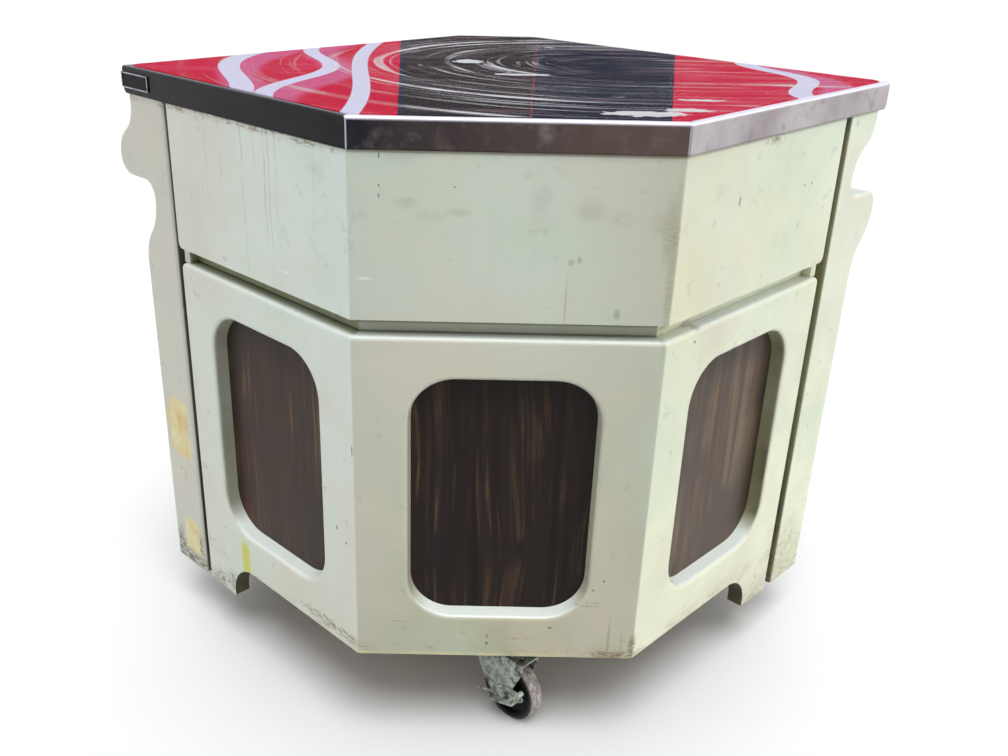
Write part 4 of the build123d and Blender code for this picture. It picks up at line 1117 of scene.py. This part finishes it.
half_across, half_out = tyre_profile()
profile_across = np.concatenate([half_across, -half_across[:0:-1]])
profile_out = np.concatenate([half_out, half_out[:0:-1]])
round_steps = np.linspace(0, 2 * math.pi, 96, endpoint=False)
for place in ("front", "left", "right", "rear"):
    centre, axis, level, vertical = lathe_frame(place)
    spoke = np.cos(round_steps)[:, None] * level + np.sin(round_steps)[:, None] * vertical
    tyre_grid = (
        centre + profile_across[None, :, None] * axis + profile_out[None, :, None] * spoke[:, None, :]
    )
    made = make_piece(
        place + "_tyre", tyre_grid, grid_faces(*tyre_grid.shape[:2], True, True), tyre,
        place + "_wheel",
    )
    from_axle = mesh_points(made) - centre
    across_axle = from_axle @ axis
    out = np.linalg.norm(from_axle - across_axle[:, None] * axis, axis=1)
    edge_run = np.abs(across_axle) + np.maximum(wheel_radius - tread_depth - out, 0) * 0.6
    write_map(made, "lathe", np.stack([out, edge_run], axis=1))
    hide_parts(place + "_wheel_tyre")

# %% [markdown]
# Each braked caster has a pressed pedal. An arm lies flat on the yoke, its tread sticks out
# sideways with ridges across it, and the tip curls up and over. The tread is one strip: a
# path that waves for the ridges and then bends round, thickened to both sides and carried
# out from the arm. Its frame comes from the brake joint, turned up by the pedal's tilt.

# %% Pedal helpers


def strip_solid(path, half_thick, reach_at, steps):
    """A sheet that follows a path: each point is thickened along the path's normal.

    path is (n, 2). reach_at gives how far out the strip runs at each point. The result is
    points (steps, 2n, 3) in the pedal's frame, along, up and out, and their faces.
    """
    run = np.gradient(path, axis=0)
    run /= np.linalg.norm(run, axis=1)[:, None]
    normal = np.stack([-run[:, 1], run[:, 0]], axis=1)
    loop = np.concatenate([path + normal * half_thick, (path - normal * half_thick)[::-1]])
    reach = np.concatenate([reach_at, reach_at[::-1]])
    share = np.linspace(0, 1, steps)
    points = np.empty((steps, len(loop), 3))
    points[:, :, :2] = loop[None, :, :]
    points[:, :, 2] = share[:, None] * reach[None, :]
    faces = grid_faces(steps, len(loop), wrap_columns=True)
    n = len(path)
    i = np.arange(n - 1)
    cap = np.stack([i, i + 1, 2 * n - 2 - i, 2 * n - 1 - i], axis=1)
    return points.reshape(-1, 3), np.concatenate([faces, cap, cap[:, ::-1] + (steps - 1) * len(loop)])


def plate_solid(outline, low, high, bevel):
    """A flat plate from an outline round its middle: rings shrink to the middle point."""
    middle = outline.mean(axis=0)
    size = np.linalg.norm(outline - middle, axis=1)[:, None]
    inward = (outline - middle) / size
    levels = (
        (0, low), (0.5, low), (1, low), (1, low + bevel),
        (1, high - bevel), (1, high), (0.5, high), (0, high),
    )
    rings = []
    for number, (share, level) in enumerate(levels):
        drawn_in = bevel if number in (2, 5) else 0.0
        flat = middle + (outline - middle) * share - inward * drawn_in * (share == 1)
        rings.append(np.concatenate([flat, np.full((len(outline), 1), level)], axis=1))
    rings = np.stack(rings)
    return rings.reshape(-1, 3), grid_faces(len(levels), len(outline), wrap_columns=True)


def tube_solid(start, finish_at, radii):
    """A round pin between two points, with a radius at each of its stations."""
    sides = 14
    start, finish_at = np.array(start, dtype=float), np.array(finish_at, dtype=float)
    way = (finish_at - start) / np.linalg.norm(finish_at - start)
    side = np.cross(way, (0.0, 0.0, 1.0))
    side /= np.linalg.norm(side)
    other = np.cross(way, side)
    turn_round = np.linspace(0, 2 * math.pi, sides, endpoint=False)
    ring = np.cos(turn_round)[:, None] * side + np.sin(turn_round)[:, None] * other
    share, radius = np.array(radii).T
    points = start + (finish_at - start) * share[:, None, None] + radius[:, None, None] * ring[None]
    return points.reshape(-1, 3), grid_faces(len(radii), sides, wrap_columns=True)


def joined(*parts):
    """Several point and face arrays as one."""
    points, faces, count = [], [], 0
    for part_points, part_faces in parts:
        points.append(part_points)
        faces.append(part_faces + count)
        count += len(part_points)
    return np.concatenate(points), np.concatenate(faces)


# %% Pedals
pedal_tilt = math.radians(20)
arm_inner, arm_outer = 0.0181, 0.0206
tail_out = arm_inner + 0.0025
strip_half, strip_overlap, box_play = 0.001, 0.0006, 0.0005
arm_corners = np.array([
    (-0.032, -0.0062), (-0.026, -0.0125), (0.01, -0.0125), (0.034, -0.0125), (0.04, -0.006),
    (0.034, 0.003), (0.018, 0.008), (0.0, 0.0105), (-0.014, 0.0095), (-0.026, 0.002), (-0.032, -0.0018),
])


def rounded_outline(corners):
    """A closed outline with its corners cut three times, a quarter from each end."""
    for _ in range(3):
        ahead = np.roll(corners, -1, axis=0)
        pairs = np.stack([corners * 0.75 + ahead * 0.25, corners * 0.25 + ahead * 0.75], axis=1)
        corners = pairs.reshape(-1, 2)
    return corners


tread_run = np.linspace(-0.026, 0.026, 70)
ridge = 0.001 * np.maximum(np.sin(2 * math.pi * (tread_run + 0.026) / 0.0062), -0.2)
tread_path = np.stack([tread_run, -0.0108 + ridge * np.clip((0.024 - tread_run) / 0.004, 0, 1)], axis=1)
rise_share = np.linspace(0, 1, 16)[1:]
rise_path = np.stack([0.026 + 0.0125 * rise_share, -0.0108 + 0.0175 * rise_share ** 1.8], axis=1)
tip_angle = np.linspace(math.radians(150), math.radians(-35), 16)
tip_path = np.stack([0.0412 + 0.0032 * np.cos(tip_angle), 0.0062 + 0.0034 * np.sin(tip_angle)], axis=1)
pedal_path = np.concatenate([tread_path, rise_path, tip_path[2:]])
far_share = np.clip((pedal_path[:, 0] - 0.01) / 0.036, -1, 1)
pedal_reach = 0.0138 * (1 - 0.22 * np.abs(far_share) ** 3)
tread_points, tread_faces = strip_solid(pedal_path, strip_half, pedal_reach, 8)
tread_points[:, 2] += arm_outer - strip_overlap
arm = plate_solid(rounded_outline(arm_corners), arm_inner, arm_outer, 0.0005)
tail = tube_solid(
    (-0.028, -0.004, tail_out), (-0.06, -0.004, tail_out),
    [(0, 0), (0, 0.0021), (0.9, 0.0019), (0.97, 0.0014), (1.0, 0.0006), (1.0, 0)],
)
pedal_points, pedal_faces = joined((tread_points, tread_faces), arm, tail)

for place in ("front", "rear"):
    brake = joint[place + "_brake_pedal"]
    centre = np.array(brake["pos_m"], dtype=float)
    out_way = -np.array(brake["axis"], dtype=float)
    trail = -np.cross(out_way, (0.0, 0.0, 1.0))
    along_way = trail * math.cos(pedal_tilt) + np.array((0, 0, 1.0)) * math.sin(pedal_tilt)
    up_way = np.cross(out_way, along_way)
    placed = centre + pedal_points @ np.stack([along_way, up_way, out_way])
    pedal = make_piece(
        place + "_pedal", placed, pedal_faces, caster_zinc, place + "_brake",
    )
    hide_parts(place + "_brake_lever")
    lever_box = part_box(place + "_brake_lever")
    inside = (placed.min(axis=0) > np.array(lever_box[0]) - box_play).all() and (
        placed.max(axis=0) < np.array(lever_box[1]) + box_play
    ).all()
    print(place, "pedal stays inside its solid's box:", bool(inside))
